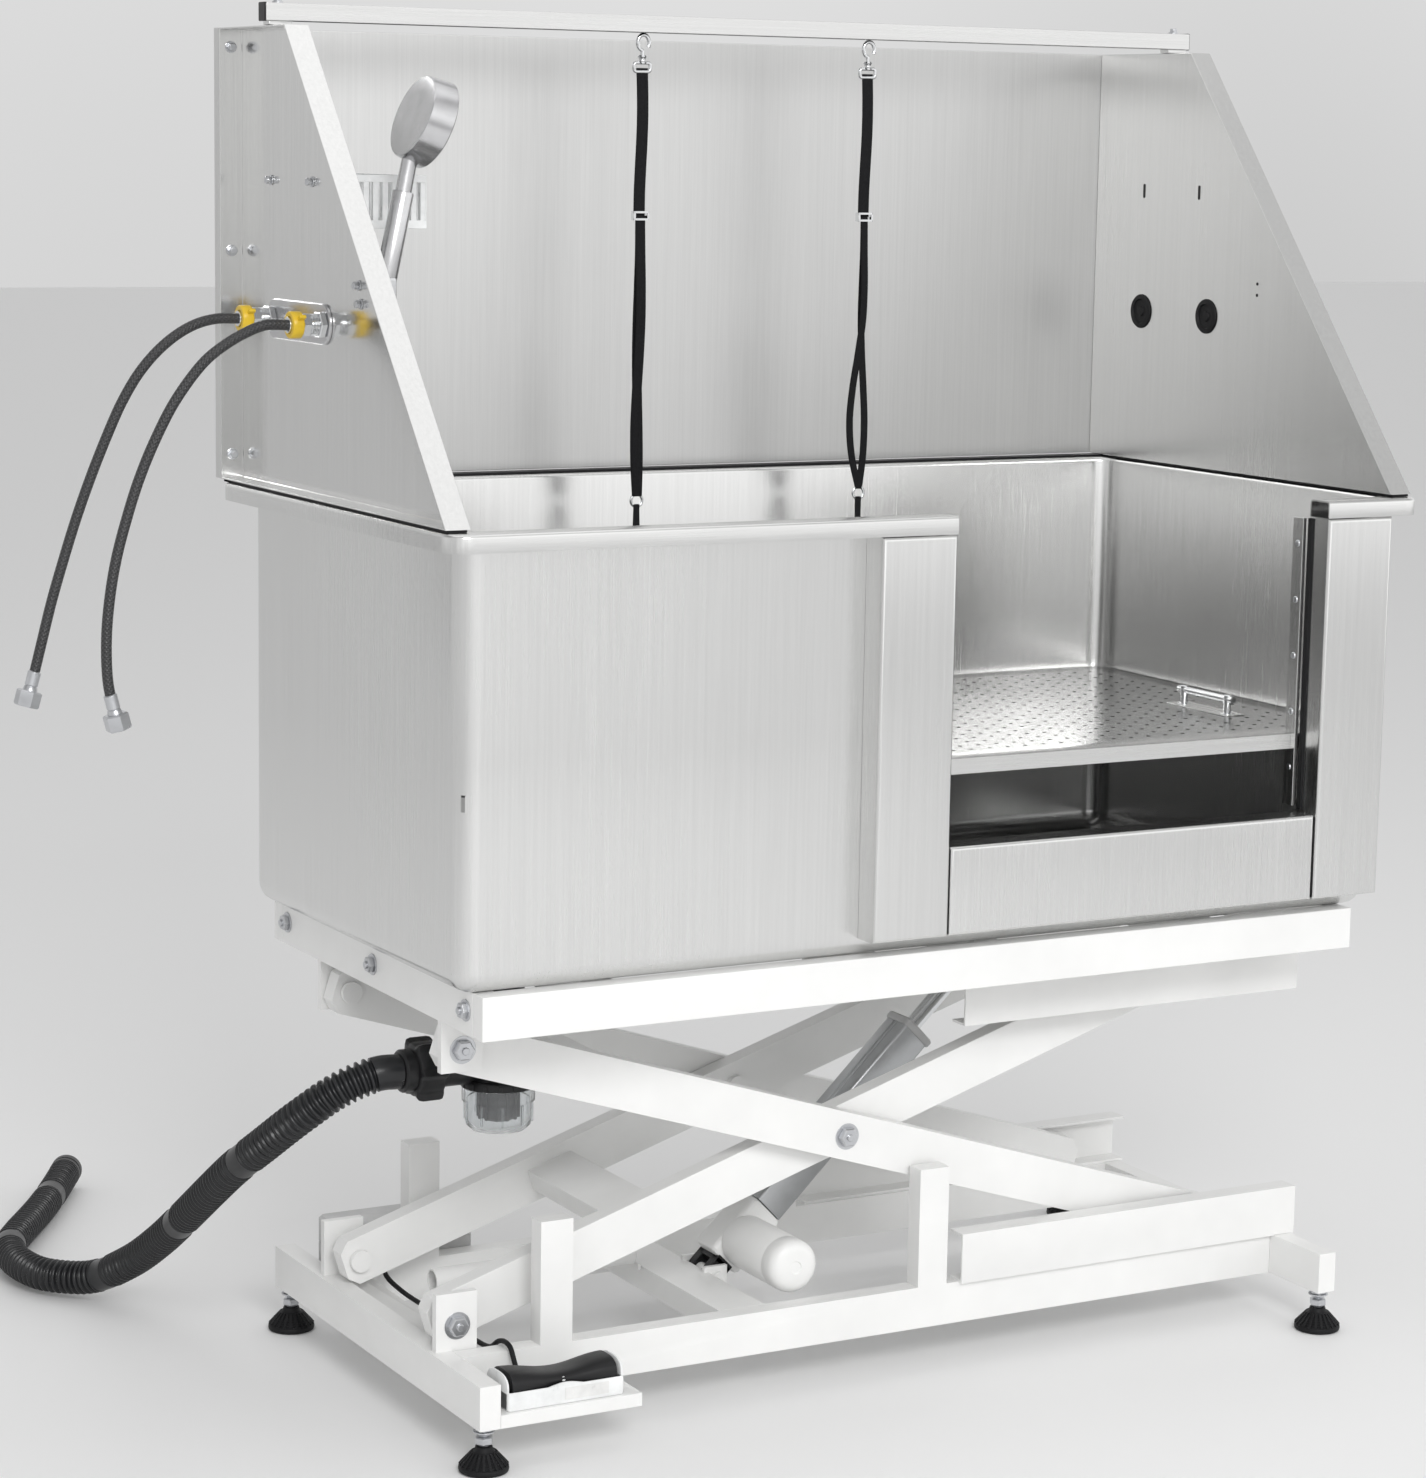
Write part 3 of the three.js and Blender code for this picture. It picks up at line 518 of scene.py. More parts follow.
def bolts():
    front = {
        "centre_bolt_front": (CENTRE[0], CENTRE[1], "inner_arms"),
        "base_bolt_front": (PIVOT["x"], PIVOT["low"], "base"),
        "platform_bolt_front": (PIVOT["x"], PIVOT["high"], "platform"),
    }
    for node, (x, z, body) in front.items():
        low, high = drawn(node)
        shape = Shape().turned(
            [(8, 0), (8, high.y - low.y - 9)], facing(x, high.y - 1, z, (0, -1, 0)), 24)
        hex_head(shape, x, low.y + 9.4, z, (0, -1, 0), 12.4, 7.2)
        hex_head(shape, x, high.y - 8.6, z, (0, 1, 0), 12.4, 5.4)
        show(node + "_hex", shape, body, ZINC, [node], edge=0.4)
    shape = Shape()
    for y in (243, -9, -258):
        hex_head(shape, -583, y, 509, (-1, 0, 0))
    show("platform_frame_bolts", shape, "platform", ZINC, edge=0.3)


def rollers():
    for level, z in (("upper", PIVOT["high"]), ("lower", PIVOT["low"])):
        for end, sign in (("front", -1), ("rear", 1)):
            node = f"roller_{level}_{end}"
            low, high = drawn(node)
            face = low.y if sign < 0 else high.y
            put = facing(ROLLER_X, face, z, (0, -sign, 0))
            wheel = [
                (0.1, 3), (7, 3), (7, 1), (11, 1), (12, 3.5), (19, 3.5), (20.5, 1),
                (22.5, 0.2), (24, 1.6), (24, 19), (22.5, 20.4), (9, 20.5), (8, 21),
                (8, high.y - low.y), (0.1, high.y - low.y),
            ]
            name = f"{level}_{end}_roller"
            show(name + "_wheel", Shape().turned(wheel, put, 48), name, BLACK, [node])


def feet():
    for end in ("front", "rear"):
        for side in ("left", "right"):
            node = f"foot_{end}_{side}"
            low, high = drawn(node)
            x, y = (low.x + high.x) / 2, (low.y + high.y) / 2
            put = placed(x, y, 0)
            pad = [(0.1, 0), (25, 0), (27.4, 1.2), (28, 3.5), (27.6, 6.5)]
            for i in range(6):
                z, r = 7 + i * 2.3, 26.4 - 1.5 * i - 0.12 * i * i
                pad += [(r + 0.7, z), (r + 0.7, z + 1.1), (r - 0.6, z + 1.3), (r - 0.6, z + 2.1)]
            pad += [(13, 21.6), (10.5, 24), (9.4, 28), (6.2, 28.6), (0.1, 28.6)]
            body = f"{node}_body"
            rubber = Shape().turned(pad, put, 40)
            for spot in around(put, 22):
                rib = [(26.9, 7), (27.7, 8), (14.6, 22.4), (12, 21.6)]
                rubber.loft([[(r, w, z) for r, z in rib] for w in (-1.5, 1.5)], spot)
            show(node + "_pad", rubber, body, RUBBER, [node], smooth=40)
            stud = [(0.1, 28)]
            for i in range(14):
                z = 28 + i * 1.6
                stud += [(5.2, z), (6, z + 0.8)]
            stud += [(5.2, 52), (0.1, 52)]
            metal = Shape().turned(stud, put, 20)
            metal.hexes([(9, 30.2), (10.4, 31.4), (10.4, 38), (9, 39.2)], put)
            metal.turned([(6, 44), (12, 44), (12, 45.6), (6, 45.6)], put, 28)
            metal.hexes([(9, 45.6), (10.2, 46), (10.2, 49.4), (9, 49.9)], put)
            show(node + "_stud", metal, body, ZINC, edge=0.3)


def actuator():
    put = placed(ACTUATOR["x"], 0, ACTUATOR["z"]) @ Matrix.Rotation(
        -ACTUATOR["angle"], 4, "Y")
    near, far = LIFT_Y - 23.4, LIFT_Y + 23.4
    gearbox = Shape()
    centre, half = (near + far) / 2, (far - near) / 2
    outline = rounded(26, half, 8)
    loops = []
    for x, shrink in ((20, 6), (21.5, 2), (25, 0), (99, 0), (102.5, 2), (104, 6)):
        loops.append([(x, centre + b * (1 - shrink / half), a * (1 - shrink / 26)) for a, b in outline])
    gearbox.loft(loops, put)
    show("actuator_gearbox", gearbox, "actuator", WHITE, ["actuator_motor"])
    to_motor = put @ facing(56, near + 2, 0, (0, -1, 0))
    reach = near + 2 - (LIFT_Y - 148)
    can = [(0.1, 0), (30, 0), (30, 4), (31.6, 6), (32, 9), (32, reach - 30), (31.2, reach - 28.5),
           (31.2, reach - 26.5), (32, reach - 25), (32, reach - 12)]
    can += [(32 - 12 * (1 - cos(t)), reach - 12 + 12 * sin(t))
            for t in [pi / 2 * i / 6 for i in range(1, 7)]]
    can += [(8, reach), (7, reach - 1), (0.1, reach - 1)]
    show("actuator_motor_can", Shape().turned(can, to_motor, 56), "actuator", WHITE)
    clevis = Shape()
    for y in (near + 1, far - 13):
        outline = [(21, -13), (21, 13), (4, 13)]
        outline += [(4 + 13 * cos(t) - 4, 13 * sin(t))
                    for t in [pi / 2 + pi * i / 10 for i in range(1, 10)]]
        outline += [(4, -13)]
        turn = Matrix(((1, 0, 0, 0), (0, 0, 1, y), (0, 1, 0, 0), (0, 0, 0, 1)))
        clevis.prism(outline, 0, 12, put @ turn)
    clevis.box(14, 24, near + 1, far - 1, -13, 13, put)
    show("actuator_clevis", clevis, "actuator", BLACK, edge=1.2)
    tube = Shape()
    outer, inner = rounded(22, 22, 4, 3), rounded(19.5, 19.5, 3, 3)
    def ring(outline, x):
        return [(x, LIFT_Y + b, a) for a, b in outline]
    walls = [ring(outer, 104), ring(outer, 390), ring(inner, 390), ring(inner, 104)]
    tube.loft(walls, put, closed=True)
    for z in (-22.3, 22.3):
        tube.box(112, 384, LIFT_Y - 4, LIFT_Y - 2.6, z - 0.4, z + 0.4, put)
        tube.box(112, 384, LIFT_Y + 2.6, LIFT_Y + 4, z - 0.4, z + 0.4, put)
    show("actuator_square_tube", tube, "actuator", ALUMINIUM, ["actuator_tube"], edge=0.5)
    collar = Shape()
    rings = [(384, outer, 1.06), (386, outer, 1.1), (392, outer, 1.1), (394, outer, 1.02)]
    loops = [ring([(a * k, b * k) for a, b in outline], x) for x, outline, k in rings]
    loops += [ring(inner, 394), ring(inner, 384)]
    collar.loft(loops, put, closed=True)
    show("actuator_tube_collar", collar, "actuator", GREY, edge=0.4)
    rod = Shape()
    along = put @ facing(200, LIFT_Y, 0, (1, 0, 0))
    rod.turned([(0.1, 0), (10, 0), (10, 279), (9, 281), (0.1, 281)], along, 40)
    tip = put @ placed(ACTUATOR["length"], LIFT_Y, 0)
    rod.box(-26, 13, -12, 12, -13, 13, tip)
    show("actuator_rod_chrome", rod, "ram", CHROME, ["actuator_rod"], edge=1.2)


# ---- foot pedal and control box ----
def pedal():
    tray = Shape()
    low, high = PEDAL_LOW, PEDAL_HIGH
    middle = (low + high) / 2
    half = (high - low) / 2
    outer = rounded(half.x, half.y - 3, 3)
    inner = rounded(half.x - 3, half.y - 5, 2)
    def ring(outline, z, k=1.0):
        return [(middle.x + a * k, middle.y + b * k, z) for a, b in outline]
    tray.loft([ring(outer, low.z, 0.985), ring(outer, low.z + 1.5), ring(outer, high.z - 1.5),
               ring(outer, high.z, 0.985), ring(inner, high.z), ring(inner, low.z + 4)])
    show("pedal_housing_tray", tray, "base", WHITE_PLASTIC, ["pedal_housing"], edge=0.4)
    front = middle.y - half.y + 3
    plate = Shape().box(middle.x - 2, middle.x + 52, front - 0.5, front + 1, low.z + 4, high.z - 3)
    show("pedal_label_plate", plate, "base", LABEL, edge=0.2)
    top, shoulder = ROCKER_TOP, high.z + 3
    deep = half.y - 6
    def arch(x, wide, base, peak):
        turns = evenly(18, pi)
        return [(x, middle.y - wide, base), (x, middle.y + wide, base)] + [
            (x, middle.y + wide * copysign(abs(cos(t)) ** 0.7, cos(t)),
             shoulder + (peak - shoulder) * sin(t) ** 0.8) for t in turns]
    ends = Shape()
    for x in (low.x, high.x - 3):
        ends.loft([arch(x + w, deep - inset, low.z + 1, top - 1 - inset)
                   for w, inset in ((0, 0.8), (0.6, 0), (2.4, 0), (3, 0.8))])
    hump = [(middle.x - 34, high.z - 3)]
    hump += [(middle.x + 34 * a, high.z - 1.5 + 5 * cos(pi * a / 2) ** 2)
             for a in [i / 8 - 1 for i in range(17)]]
    hump += [(middle.x + 34, high.z - 3)]
    ends.loft([[(x, y, z) for x, z in hump] for y in (front + 0.2, front + 2)])
    show("pedal_housing_ends", ends, "base", WHITE_PLASTIC, smooth=40)
    x0, x1 = low.x + 7, high.x - 7
    loops = []
    for i in range(41):
        t = i / 20 - 1
        waist = cos(pi * t / 2) ** 2
        base = low.z + 11 + 3 * abs(t)
        loops.append(arch(middle.x + (x1 - x0) / 2 * t, deep * (1 - 0.16 * waist), base,
                          top - 8 * waist))
    rocker = Shape().loft(loops)
    show("pedal_rocker_moulding", rocker, "pedal", BLACK, ["pedal_rocker"], edge=0.8, smooth=50)
    spot = facing(middle.x, middle.y - 0.8 * deep, shoulder + 1.6, (0, -1, 0.35))
    mark = Shape().turned([(0.1, -2), (2.6, -2), (2.6, 0.6), (0.1, 0.8)], spot, 24)
    show("pedal_position_mark", mark, "pedal", WHITE_PLASTIC)


def control_box():
    low, high = BOX_LOW, BOX_HIGH
    middle, half = (low + high) / 2, (high - low) / 2
    case = Shape()
    outer = rounded(half.x, half.y, 7)
    def ring(z, k):
        return [(middle.x + a * k, middle.y + b * k, z) for a, b in outer]
    seam = low.z + 0.62 * (high.z - low.z)
    rings = [(low.z, 0.97), (low.z + 2.5, 1), (seam - 1, 1), (seam - 0.8, 0.985),
             (seam + 0.8, 0.985), (seam + 1, 1), (high.z - 3, 1), (high.z, 0.96)]
    case.loft([ring(z, k) for z, k in rings])
    show("control_box_case", case, "base", GREY, ["control_box"])
    fins = Shape()
    for i in range(7):
        x = middle.x - 36 + i * 12
        fins.box(x - 2.2, x + 2.2, high.y - 0.2, high.y + 1.2, low.z + 14, seam - 10)
    show("control_box_fins", fins, "base", GREY, edge=0.6)
    gland = Shape().turned(
        [(3.4, -2), (9, -2), (9, 4), (6.4, 5), (5, 24), (3.4, 28), (3.3, 28)],
        facing(-500, low.y - 0.3, 108.5, (0, -1, 0)), 24)
    show("control_box_gland", gland, "base", BLACK)


PEDAL_LEAD = [
    (-500, -233.4, 76), (-500, -224, 78), (-500, -212, 92), (-500, -202, 104.5),
    (-500, -188, 107), (-500, -172, 103), (-500, -150, 90), (-500, -110, 86), (-500, 0, 86),
    (-500, 100, 86), (-500, 140, 92), (-500, 154, 104), (-500, 166, 108), (-500, 176, 108.5),
    (-500, 185, 108.5),
]


def pedal_lead():
    hose("pedal_lead_cable", PEDAL_LEAD, 3, "base", RUBBER, ["pedal_lead"], "object",
         diameter=0.006, lay="loose", sides=12, step=5)


def conduit():
    """An open white pipe lying along the base, through which the leads run."""
    pipe = Shape()
    along = facing(-490, 30, 115, (1, 0, 0))
    profile = [(14, 0), (14, 262), (11.6, 262), (11.6, 0)]
    pipe.turned(profile, along, 40, closed=True)
    pipe.box(-226, -222, 16, 44, 96, 104)
    show("lead_conduit", pipe, "base", WHITE, edge=0.5)


# ---- tub ----
def tub_shell():
    """The folded tub: floor, walls with round corners, and the rolled rim, in one sheet."""
    half_x = RIM_HIGH.x - RIM_OVER.x - SHEET
    half_y = BACK_HIGH.y - RIM_OVER.y - SHEET
    bottom, top = FRONT_LOW.z + SHEET, BACK_HIGH.z
    bend, roll, edge, corner = 22.0, 5.0, 4.0, 26.0
    rows = []
    for t in evenly(6, pi / 2):
        rows.append((-bend * (1 - sin(t)), bottom + bend * (1 - cos(t)), 0.0))
    rows.append((0.0, (bottom + top) / 2, 0.0))
    for t in evenly(4, pi / 2):
        rows.append((roll * (1 - cos(t)), top - roll + roll * sin(t), 0.0))
    for t in evenly(4, pi / 2):
        rows.append((-edge * (1 - sin(t)), top - edge * (1 - cos(t)), 1.0))
    rows.append((0.0, top - 20, 1.0))
    loops = []
    for offset, z, out in rows:
        grow_x = out * (RIM_OVER.x + SHEET) + offset
        grow_y = out * (RIM_OVER.y + SHEET) + offset
        radius = max(3.0, corner + (offset if not out else 0))
        outline = rounded(half_x + grow_x, half_y + grow_y, radius, 8)
        loops.append([(a, b, z) for a, b in outline])
    shape = Shape().loft(loops, ends=(True, False))
    mesh = bpy.data.meshes.new("tub_sheet")
    mesh.from_pydata([at(*p) for p in shape.points], [], shape.faces)
    work = bpy.data.objects.new("tub_sheet_work", mesh)
    SCENE.collection.objects.link(work)
    thick = work.modifiers.new("sheet", "SOLIDIFY")
    thick.thickness = SHEET * MM
    thick.offset = 1.0
    opening = Shape().box(DOORWAY["left"], DOORWAY["right"], -400, -250, DOORWAY["sill"], 1100)
    cutter_mesh = bpy.data.meshes.new("doorway")
    cutter_mesh.from_pydata([at(*p) for p in opening.points], [], opening.faces)
    bm = bmesh.new()
    bm.from_mesh(cutter_mesh)
    bmesh.ops.recalc_face_normals(bm, faces=bm.faces)
    bm.to_mesh(cutter_mesh)
    bm.free()
    cutter = bpy.data.objects.new("doorway_cutter", cutter_mesh)
    SCENE.collection.objects.link(cutter)
    cut = work.modifiers.new("doorway", "BOOLEAN")
    cut.operation = "DIFFERENCE"
    cut.object = cutter
    cut.solver = "EXACT"
    graph = bpy.context.evaluated_depsgraph_get()
    final = bpy.data.meshes.new_from_object(work.evaluated_get(graph))
    for extra in (work, cutter):
        bpy.data.objects.remove(extra)
    nodes = ["tub_front_wall", "tub_back_wall", "tub_left_wall", "tub_right_wall", "tub_floor"]
    piece = dress("tub_shell", final, "platform", STEEL_UP, nodes, smooth=28)
    piece.data.materials.append(STEEL_X)
    top_edge = (top - 24) * MM
    for face in piece.data.polygons:
        if face.center.z > top_edge and abs(face.center.x) * 1000 < RIM_HIGH.x - 40:
            if abs(face.center.y * 1000 + Y_MIDDLE) > half_y + SHEET + 1:
                face.material_index = 1
    return piece


def folded_plate(shape, x0, x1, front, back, z0, z1):
    """A sheet folded back all round, open behind."""
    bend = 5.0
    def outline(inset, y):
        return [(x0 + inset, y, z0 + inset), (x1 - inset, y, z0 + inset),
                (x1 - inset, y, z1 - inset), (x0 + inset, y, z1 - inset)]
    turns = evenly(5, pi / 2)
    rows = [outline(bend * (1 - sin(t)), front + bend * (1 - cos(t))) for t in turns]
    rows += [outline(0, back), outline(SHEET, back), outline(SHEET, front + bend + SHEET)]
    shape.loft(rows)


def tub_details():
    low, high = DOOR_LOW, DOOR_HIGH
    right, sill, left = DOORWAY["right"], DOORWAY["sill"], DOORWAY["left"]
    plates = Shape()
    for x0, x1, y0, top in (
        (low.x, left, low.y, high.z), (right, high.x, low.y, high.z),
        (left + 1.5, right - 1.5, low.y + 2, sill),
    ):
        folded_plate(plates, x0, x1, y0, high.y, low.z, top)
    show("door_surround_plates", plates, "platform", STEEL_UP, ["door_surround"])
    # Rubber seals along the doorway's edges, and thin black strips in the seams beside the sill plate
    # that are painted shade filling the gaps between the plates.
    seal_and_seam_shade = Shape()
    seal_and_seam_shade.box(right - 3, right + 0.5, high.y - 5, high.y + 2, sill + 2, high.z - 2)
    seal_and_seam_shade.box(left - 0.5, left + 3, high.y - 5, high.y + 2, sill + 2, high.z - 2)
    for x in (left, right - 1.5):
        seal_and_seam_shade.box(x + 0.1, x + 1.4, low.y + 3.5, high.y - 1, low.z + 2, sill - 3)
    show("doorway_seals_and_seam_shade", seal_and_seam_shade, "platform", RUBBER, edge=0.8)
    strip = Shape().box(right - 9, right - 4, high.y + 3, high.y + 22, sill + 6, high.z - 2)
    show("door_jamb_strip", strip, "platform", STEEL_UP, edge=0.5)
    plugs = Shape()
    for i in range(5):
        z = sill + 52 + i * 67
        plugs.turned([(0.1, 0), (4.2, 0), (3.4, 1.2), (0.1, 1.6)],
                     facing(right - 9, high.y + 12, z, (-1, 0, 0)), 20)
    show("door_jamb_screws", plugs, "platform", ZINC)
    gap = Shape()
    reach_x, reach_y = RIM_HIGH.x - 5, BACK_HIGH.y - 4
    top = RIM_HIGH.z
    for sign in (-1, 1):
        x0, x1 = sorted((sign * (reach_x - 24), sign * reach_x))
        gap.box(x0, x1, LEFT_LOW.y + 2, reach_y, top + 0.2, LEFT_LOW.z - 0.2)
    gap.box(-reach_x, reach_x, BACK_LOW.y - 26, reach_y, top + 0.2, LEFT_LOW.z - 0.2)
    show("rim_seal", gap, "platform", RUBBER, edge=0.4)
    ledges = Shape()
    for sign in (-1, 1):
        x0, x1 = sorted((sign * 587, sign * 605.5))
        ledges.box(x0, x1, -270, 270, GRATE_LOW.z - 2.3, GRATE_LOW.z - 0.3)
    show("grate_ledges", ledges, "platform", STEEL_Y, edge=0.4)
    put = placed(TRAP["x"], TRAP["y"], FRONT_LOW.z + 2.2)
    ring = Shape().turned([(24, 1), (26, 2.6), (43, 2.4), (44, 0.4), (44, 0), (24, 0)],
                          put, 48, closed=True)
    show("drain_flange", ring, "platform", CHROME)


def grate():
    """The walking surface: a folded tray with small holes in a grid, and its handle."""
    half_x, half_y = GRATE_HIGH.x, (GRATE_HIGH.y - GRATE_LOW.y) / 2
    top, deep = GRATE_TOP, GRATE_TOP - GRATE_LOW.z
    columns, rows, margin = 46, 21, 34.0
    pitch_x = 2 * (half_x - margin) / columns
    pitch_y = 2 * (half_y - margin) / rows
    shape = Shape()
    ring = 8
    for i in range(columns):
        for j in range(rows):
            x0, y0 = -half_x + margin + i * pitch_x, -half_y + margin + j * pitch_y
            cx, cy = x0 + pitch_x / 2, y0 + pitch_y / 2
            square, hole, well = [], [], []
            handle = abs(cx - 500) < 34 and abs(cy + 92) < 66
            r = 0.05 if handle else 3.0
            for k in range(ring):
                t = 2 * pi * k / ring
                c, s = cos(t), sin(t)
                m = max(abs(c), abs(s))
                square.append((cx + c / m * pitch_x / 2, cy + s / m * pitch_y / 2, top))
                hole.append((cx + c * r, cy + s * r, top))
                well.append((cx + c * r, cy + s * r, top - SHEET))
            faces = [[k, (k + 1) % ring, ring + (k + 1) % ring, ring + k] for k in range(ring)]
            faces += [[ring + k, ring + (k + 1) % ring, 2 * ring + (k + 1) % ring, 2 * ring + k]
                      for k in range(ring)]
            shape.add(square + hole + well, faces)
    inner = rounded(half_x - margin, half_y - margin, 0.01, 1)
    loops = [[(a, b, top) for a, b in inner]]
    for r, z, k in ((4, top, 1.0), (3, top - 1.2, 0.0), (3, top - 3, 0.0), (3, top - deep, 0.0)):
        grow = 0 if k == 0.0 else -2.5
        loops.append([(a, b, z) for a, b in rounded(half_x + grow, half_y + grow, r, 1)])
    loops.append([(a, b, top - deep) for a, b in rounded(half_x - SHEET, half_y - SHEET, 2, 1)])
    loops.append([(a, b, top - SHEET - 2) for a, b in rounded(half_x - SHEET, half_y - SHEET, 2, 1)])
    shape.loft(loops, ends=(False, False))
    piece = show("grate_tray", shape, "grate", STEEL_GRATE, ["floor_grate"])
    piece.data.materials.append(STEEL_X)
    piece.data.materials.append(STEEL_HOLE_SHADE)
    for face in piece.data.polygons:
        if abs(face.normal.z) < 0.5 and face.center.y < 0 and face.area > 1e-4:
            face.material_index = 1
        # The holes' small upright walls take the nearly black steel, as painted shade.
        elif abs(face.normal.z) < 0.5 and face.area < 1e-5:
            face.material_index = 2
    handle = Shape()
    for y in (-137, -47):
        put = placed(500, y, top)
        handle.turned([(0.1, 0.1), (9, 0.1), (9, 1.4), (5, 2.4), (4.6, 12), (5.2, 14),
                       (5.2, 23.2), (4.2, 24.2), (0.1, 24.2)], put, 24)
    handle.sweep([Vector((500, y, top + 18.5)) for y in (-148, -140, -92, -44, -36)], 4.4, 20)
    show("grate_handle", handle, "grate", CHROME)
    plate = Shape().prism(rounded(16, 62, 4), 0.1, 1.3, placed(500, -92, top))
    show("grate_handle_plate", plate, "grate", STEEL_Y, edge=0.4)


# ---- splash panels, bar and straps ----
def panels():
    finished("splash_left", STEEL_SIDE, 1.2)
    finished("splash_right", STEEL_UP, 1.2)
    finished("splash_back", STEEL_BACK, 1.2)
    heads = Shape()
    for side in (-1, 1):
        for z in (1532, 1298, 1060):
            hex_head(heads, side * 618, LEFT_HIGH.y - SHEET, z, (0, -1, 0), 5.2, 4)
    for y, z in ((235, 1381), (114, 1381), (-18, 1271), (-23, 1251)):
        hex_head(heads, -604.6, y, z, (-1, 0, 0), 4.6, 3.6)
    show("side_panel_nuts", heads, "platform", ZINC, edge=0.25)
    inner = Shape()
    for y in (219, 76):
        inner.turned([(0.1, 0), (21, 0), (22, 1), (21, 2.2), (16, 2.6), (15, 0.8), (7, 0.6),
                      (6, 2.2), (0.1, 2.4)], facing(RIGHT_LOW.x, y, 1224, (-1, 0, 0)), 40)
    show("right_panel_grommets", inner, "platform", RUBBER)
    # Thin black slots and discs laid on the panel's face: painted shade standing for its open holes.
    holes = Shape()
    for y, z in ((221, 1379), (101, 1379)):
        put = facing(RIGHT_LOW.x - 0.15, y, z, (-1, 0, 0))
        holes.prism(rounded(2.2, 9, 2.1), 0, 0.25, put)
    for z in (1269, 1255):
        holes.turned([(0.1, 0), (2, 0), (2, 0.25), (0.1, 0.25)],
                     facing(RIGHT_LOW.x - 0.15, -28, z, (-1, 0, 0)), 16)
    show("right_panel_hole_shade", holes, "platform", BLACK)


def bar():
    finished("overhead_bar", STEEL_X, 1.4)
    low, high = BAR_LOW, BAR_HIGH
    caps = Shape()
    middle = (low.y + high.y) / 2
    for sign, x in ((-1, low.x), (1, high.x)):
        put = facing(x - sign * 2, middle, high.z - 10, (sign, 0, 0))
        caps.prism(rounded(9.6, 10.6, 1.5, 2), 0, 3.4, put)
    show("bar_end_caps", caps, "platform", BLACK, edge=0.8)
    heads = Shape()
    for x in (low.x + 18, high.x - 18):
        hex_head(heads, x, middle, high.z, (0, 0, 1), 5, 2.4)
    show("bar_bolts", heads, "platform", ZINC, edge=0.25)


def ribbon(shape, line, wide=15.0, thick=1.8):
    """A flat strap along a line, its width along X."""
    loops = []
    for i, p in enumerate(line):
        ahead = (line[min(i + 1, len(line) - 1)] - line[max(i - 1, 0)]).normalized()
        out = Vector((1, 0, 0)).cross(ahead).normalized() * (thick / 2)
        side = Vector((wide / 2, 0, 0))
        loops.append([p - side - out * 0.4, p - side * 0.94 - out, p + side * 0.94 - out,
                      p + side - out * 0.4, p + side + out * 0.4, p + side * 0.94 + out,
                      p - side * 0.94 + out, p - side + out * 0.4])
    return shape.loft(loops)


SLIDER_Z, RING_Z = 1344, 1003  # a strap's slider, and the ring below its two legs


def strap(name, x, spread):
    """A restraint strap: snap hook, webbing, slider, two legs, ring and noose."""
    low, high = drawn(name)
    y, top, bottom = (BAR_LOW.y + BAR_HIGH.y) / 2, high.z, low.z
    metal = Shape()
    hook = [(x, y, top - 30), (x, y, top - 25)]
    for i in range(13):
        t = pi * (1.42 - 1.6 * i / 12)
        hook.append((x + 1.4 + 7.6 * cos(t), y, top - 11.4 + 9.4 * sin(t)))
    metal.sweep(smoothed(hook, 1.2), 2.4, 12)
    metal.turned([(0.1, 0), (4.8, 0), (5.4, 1.6), (4, 3.6), (4, 6), (5.8, 8), (4.4, 10), (0.1, 10)],
                 placed(x, y, top - 36), 24)
    eye = rounded(10.8, 5.2, 3, 4)
    loop = [Vector((x + a, y, top - 40 + b)) for a, b in eye]
    metal.sweep([*loop, loop[0]], 2.2, 10)
    slider = rounded(10.6, 4.6, 2.4, 4)
    metal.prism(slider, -5.4, -3, placed(x, y, SLIDER_Z))
    metal.prism(slider, 3, 5.4, placed(x, y, SLIDER_Z))
    for side in (-1, 1):
        edge = x + side * 9
        metal.box(edge - 1.2, edge + 1.2, y - 4, y + 4, SLIDER_Z - 5, SLIDER_Z + 5)
    turns = evenly(28, 2 * pi)
    ring = [Vector((x + 7.6 * cos(t), y, RING_Z + 7.6 * sin(t))) for t in turns]
    metal.sweep(ring, 1.8, 10)
    show(name + "_fittings", metal, "platform", CHROME, smooth=50)
    web = Shape()
    sway = 1.6
    upper = [(x + sway * sin(s * 5), y, top - 41 - (top - 41 - SLIDER_Z) * s) for s in
             evenly(6)]
    ribbon(web, smoothed(upper, 6), 15, 2.4)
    for side in (-1, 1):
        legs = []
        for i in range(9):
            s = i / 8
            lower = max(0.0, (s - 0.3) / 0.7)
            bulge = sin(pi * lower**1.5) * spread * (0.7 if side > 0 else -1.3)
            legs.append((x + bulge + sway * sin(s * 7 + side), y + side * 2.6 * (1 - s * 0.4),
                         SLIDER_Z - (SLIDER_Z - RING_Z - 5) * s))
        ribbon(web, smoothed(legs, 6), 9.5 if spread > 3 else 13, 1.8)
        noose = [(x + side * (1.5 + 8 * s), y + side * (3 + 4 * sin(pi * s)),
                  RING_Z - 5 - (RING_Z - 17 - bottom) * s) for s in evenly(6)]
        ribbon(web, smoothed(noose, 6), 8, 1.8)
    foot = [(x + 9.5 * cos(t), y, bottom + 12 - 10 * sin(t)) for t in
            evenly(10, pi)]
    loops = []
    for p in foot:
        nx, nz = (p[0] - x) / 9.5, (bottom + 12 - p[2]) / 10
        loops.append([(p[0] + nx * k, y + d, p[2] - nz * k) for k, d in
                      ((-0.9, -7), (0.9, -7), (0.9, 7), (-0.9, 7))])
    web.loft(loops)
    show(name + "_webbing", web, "platform", WEBBING, [name], smooth=60)


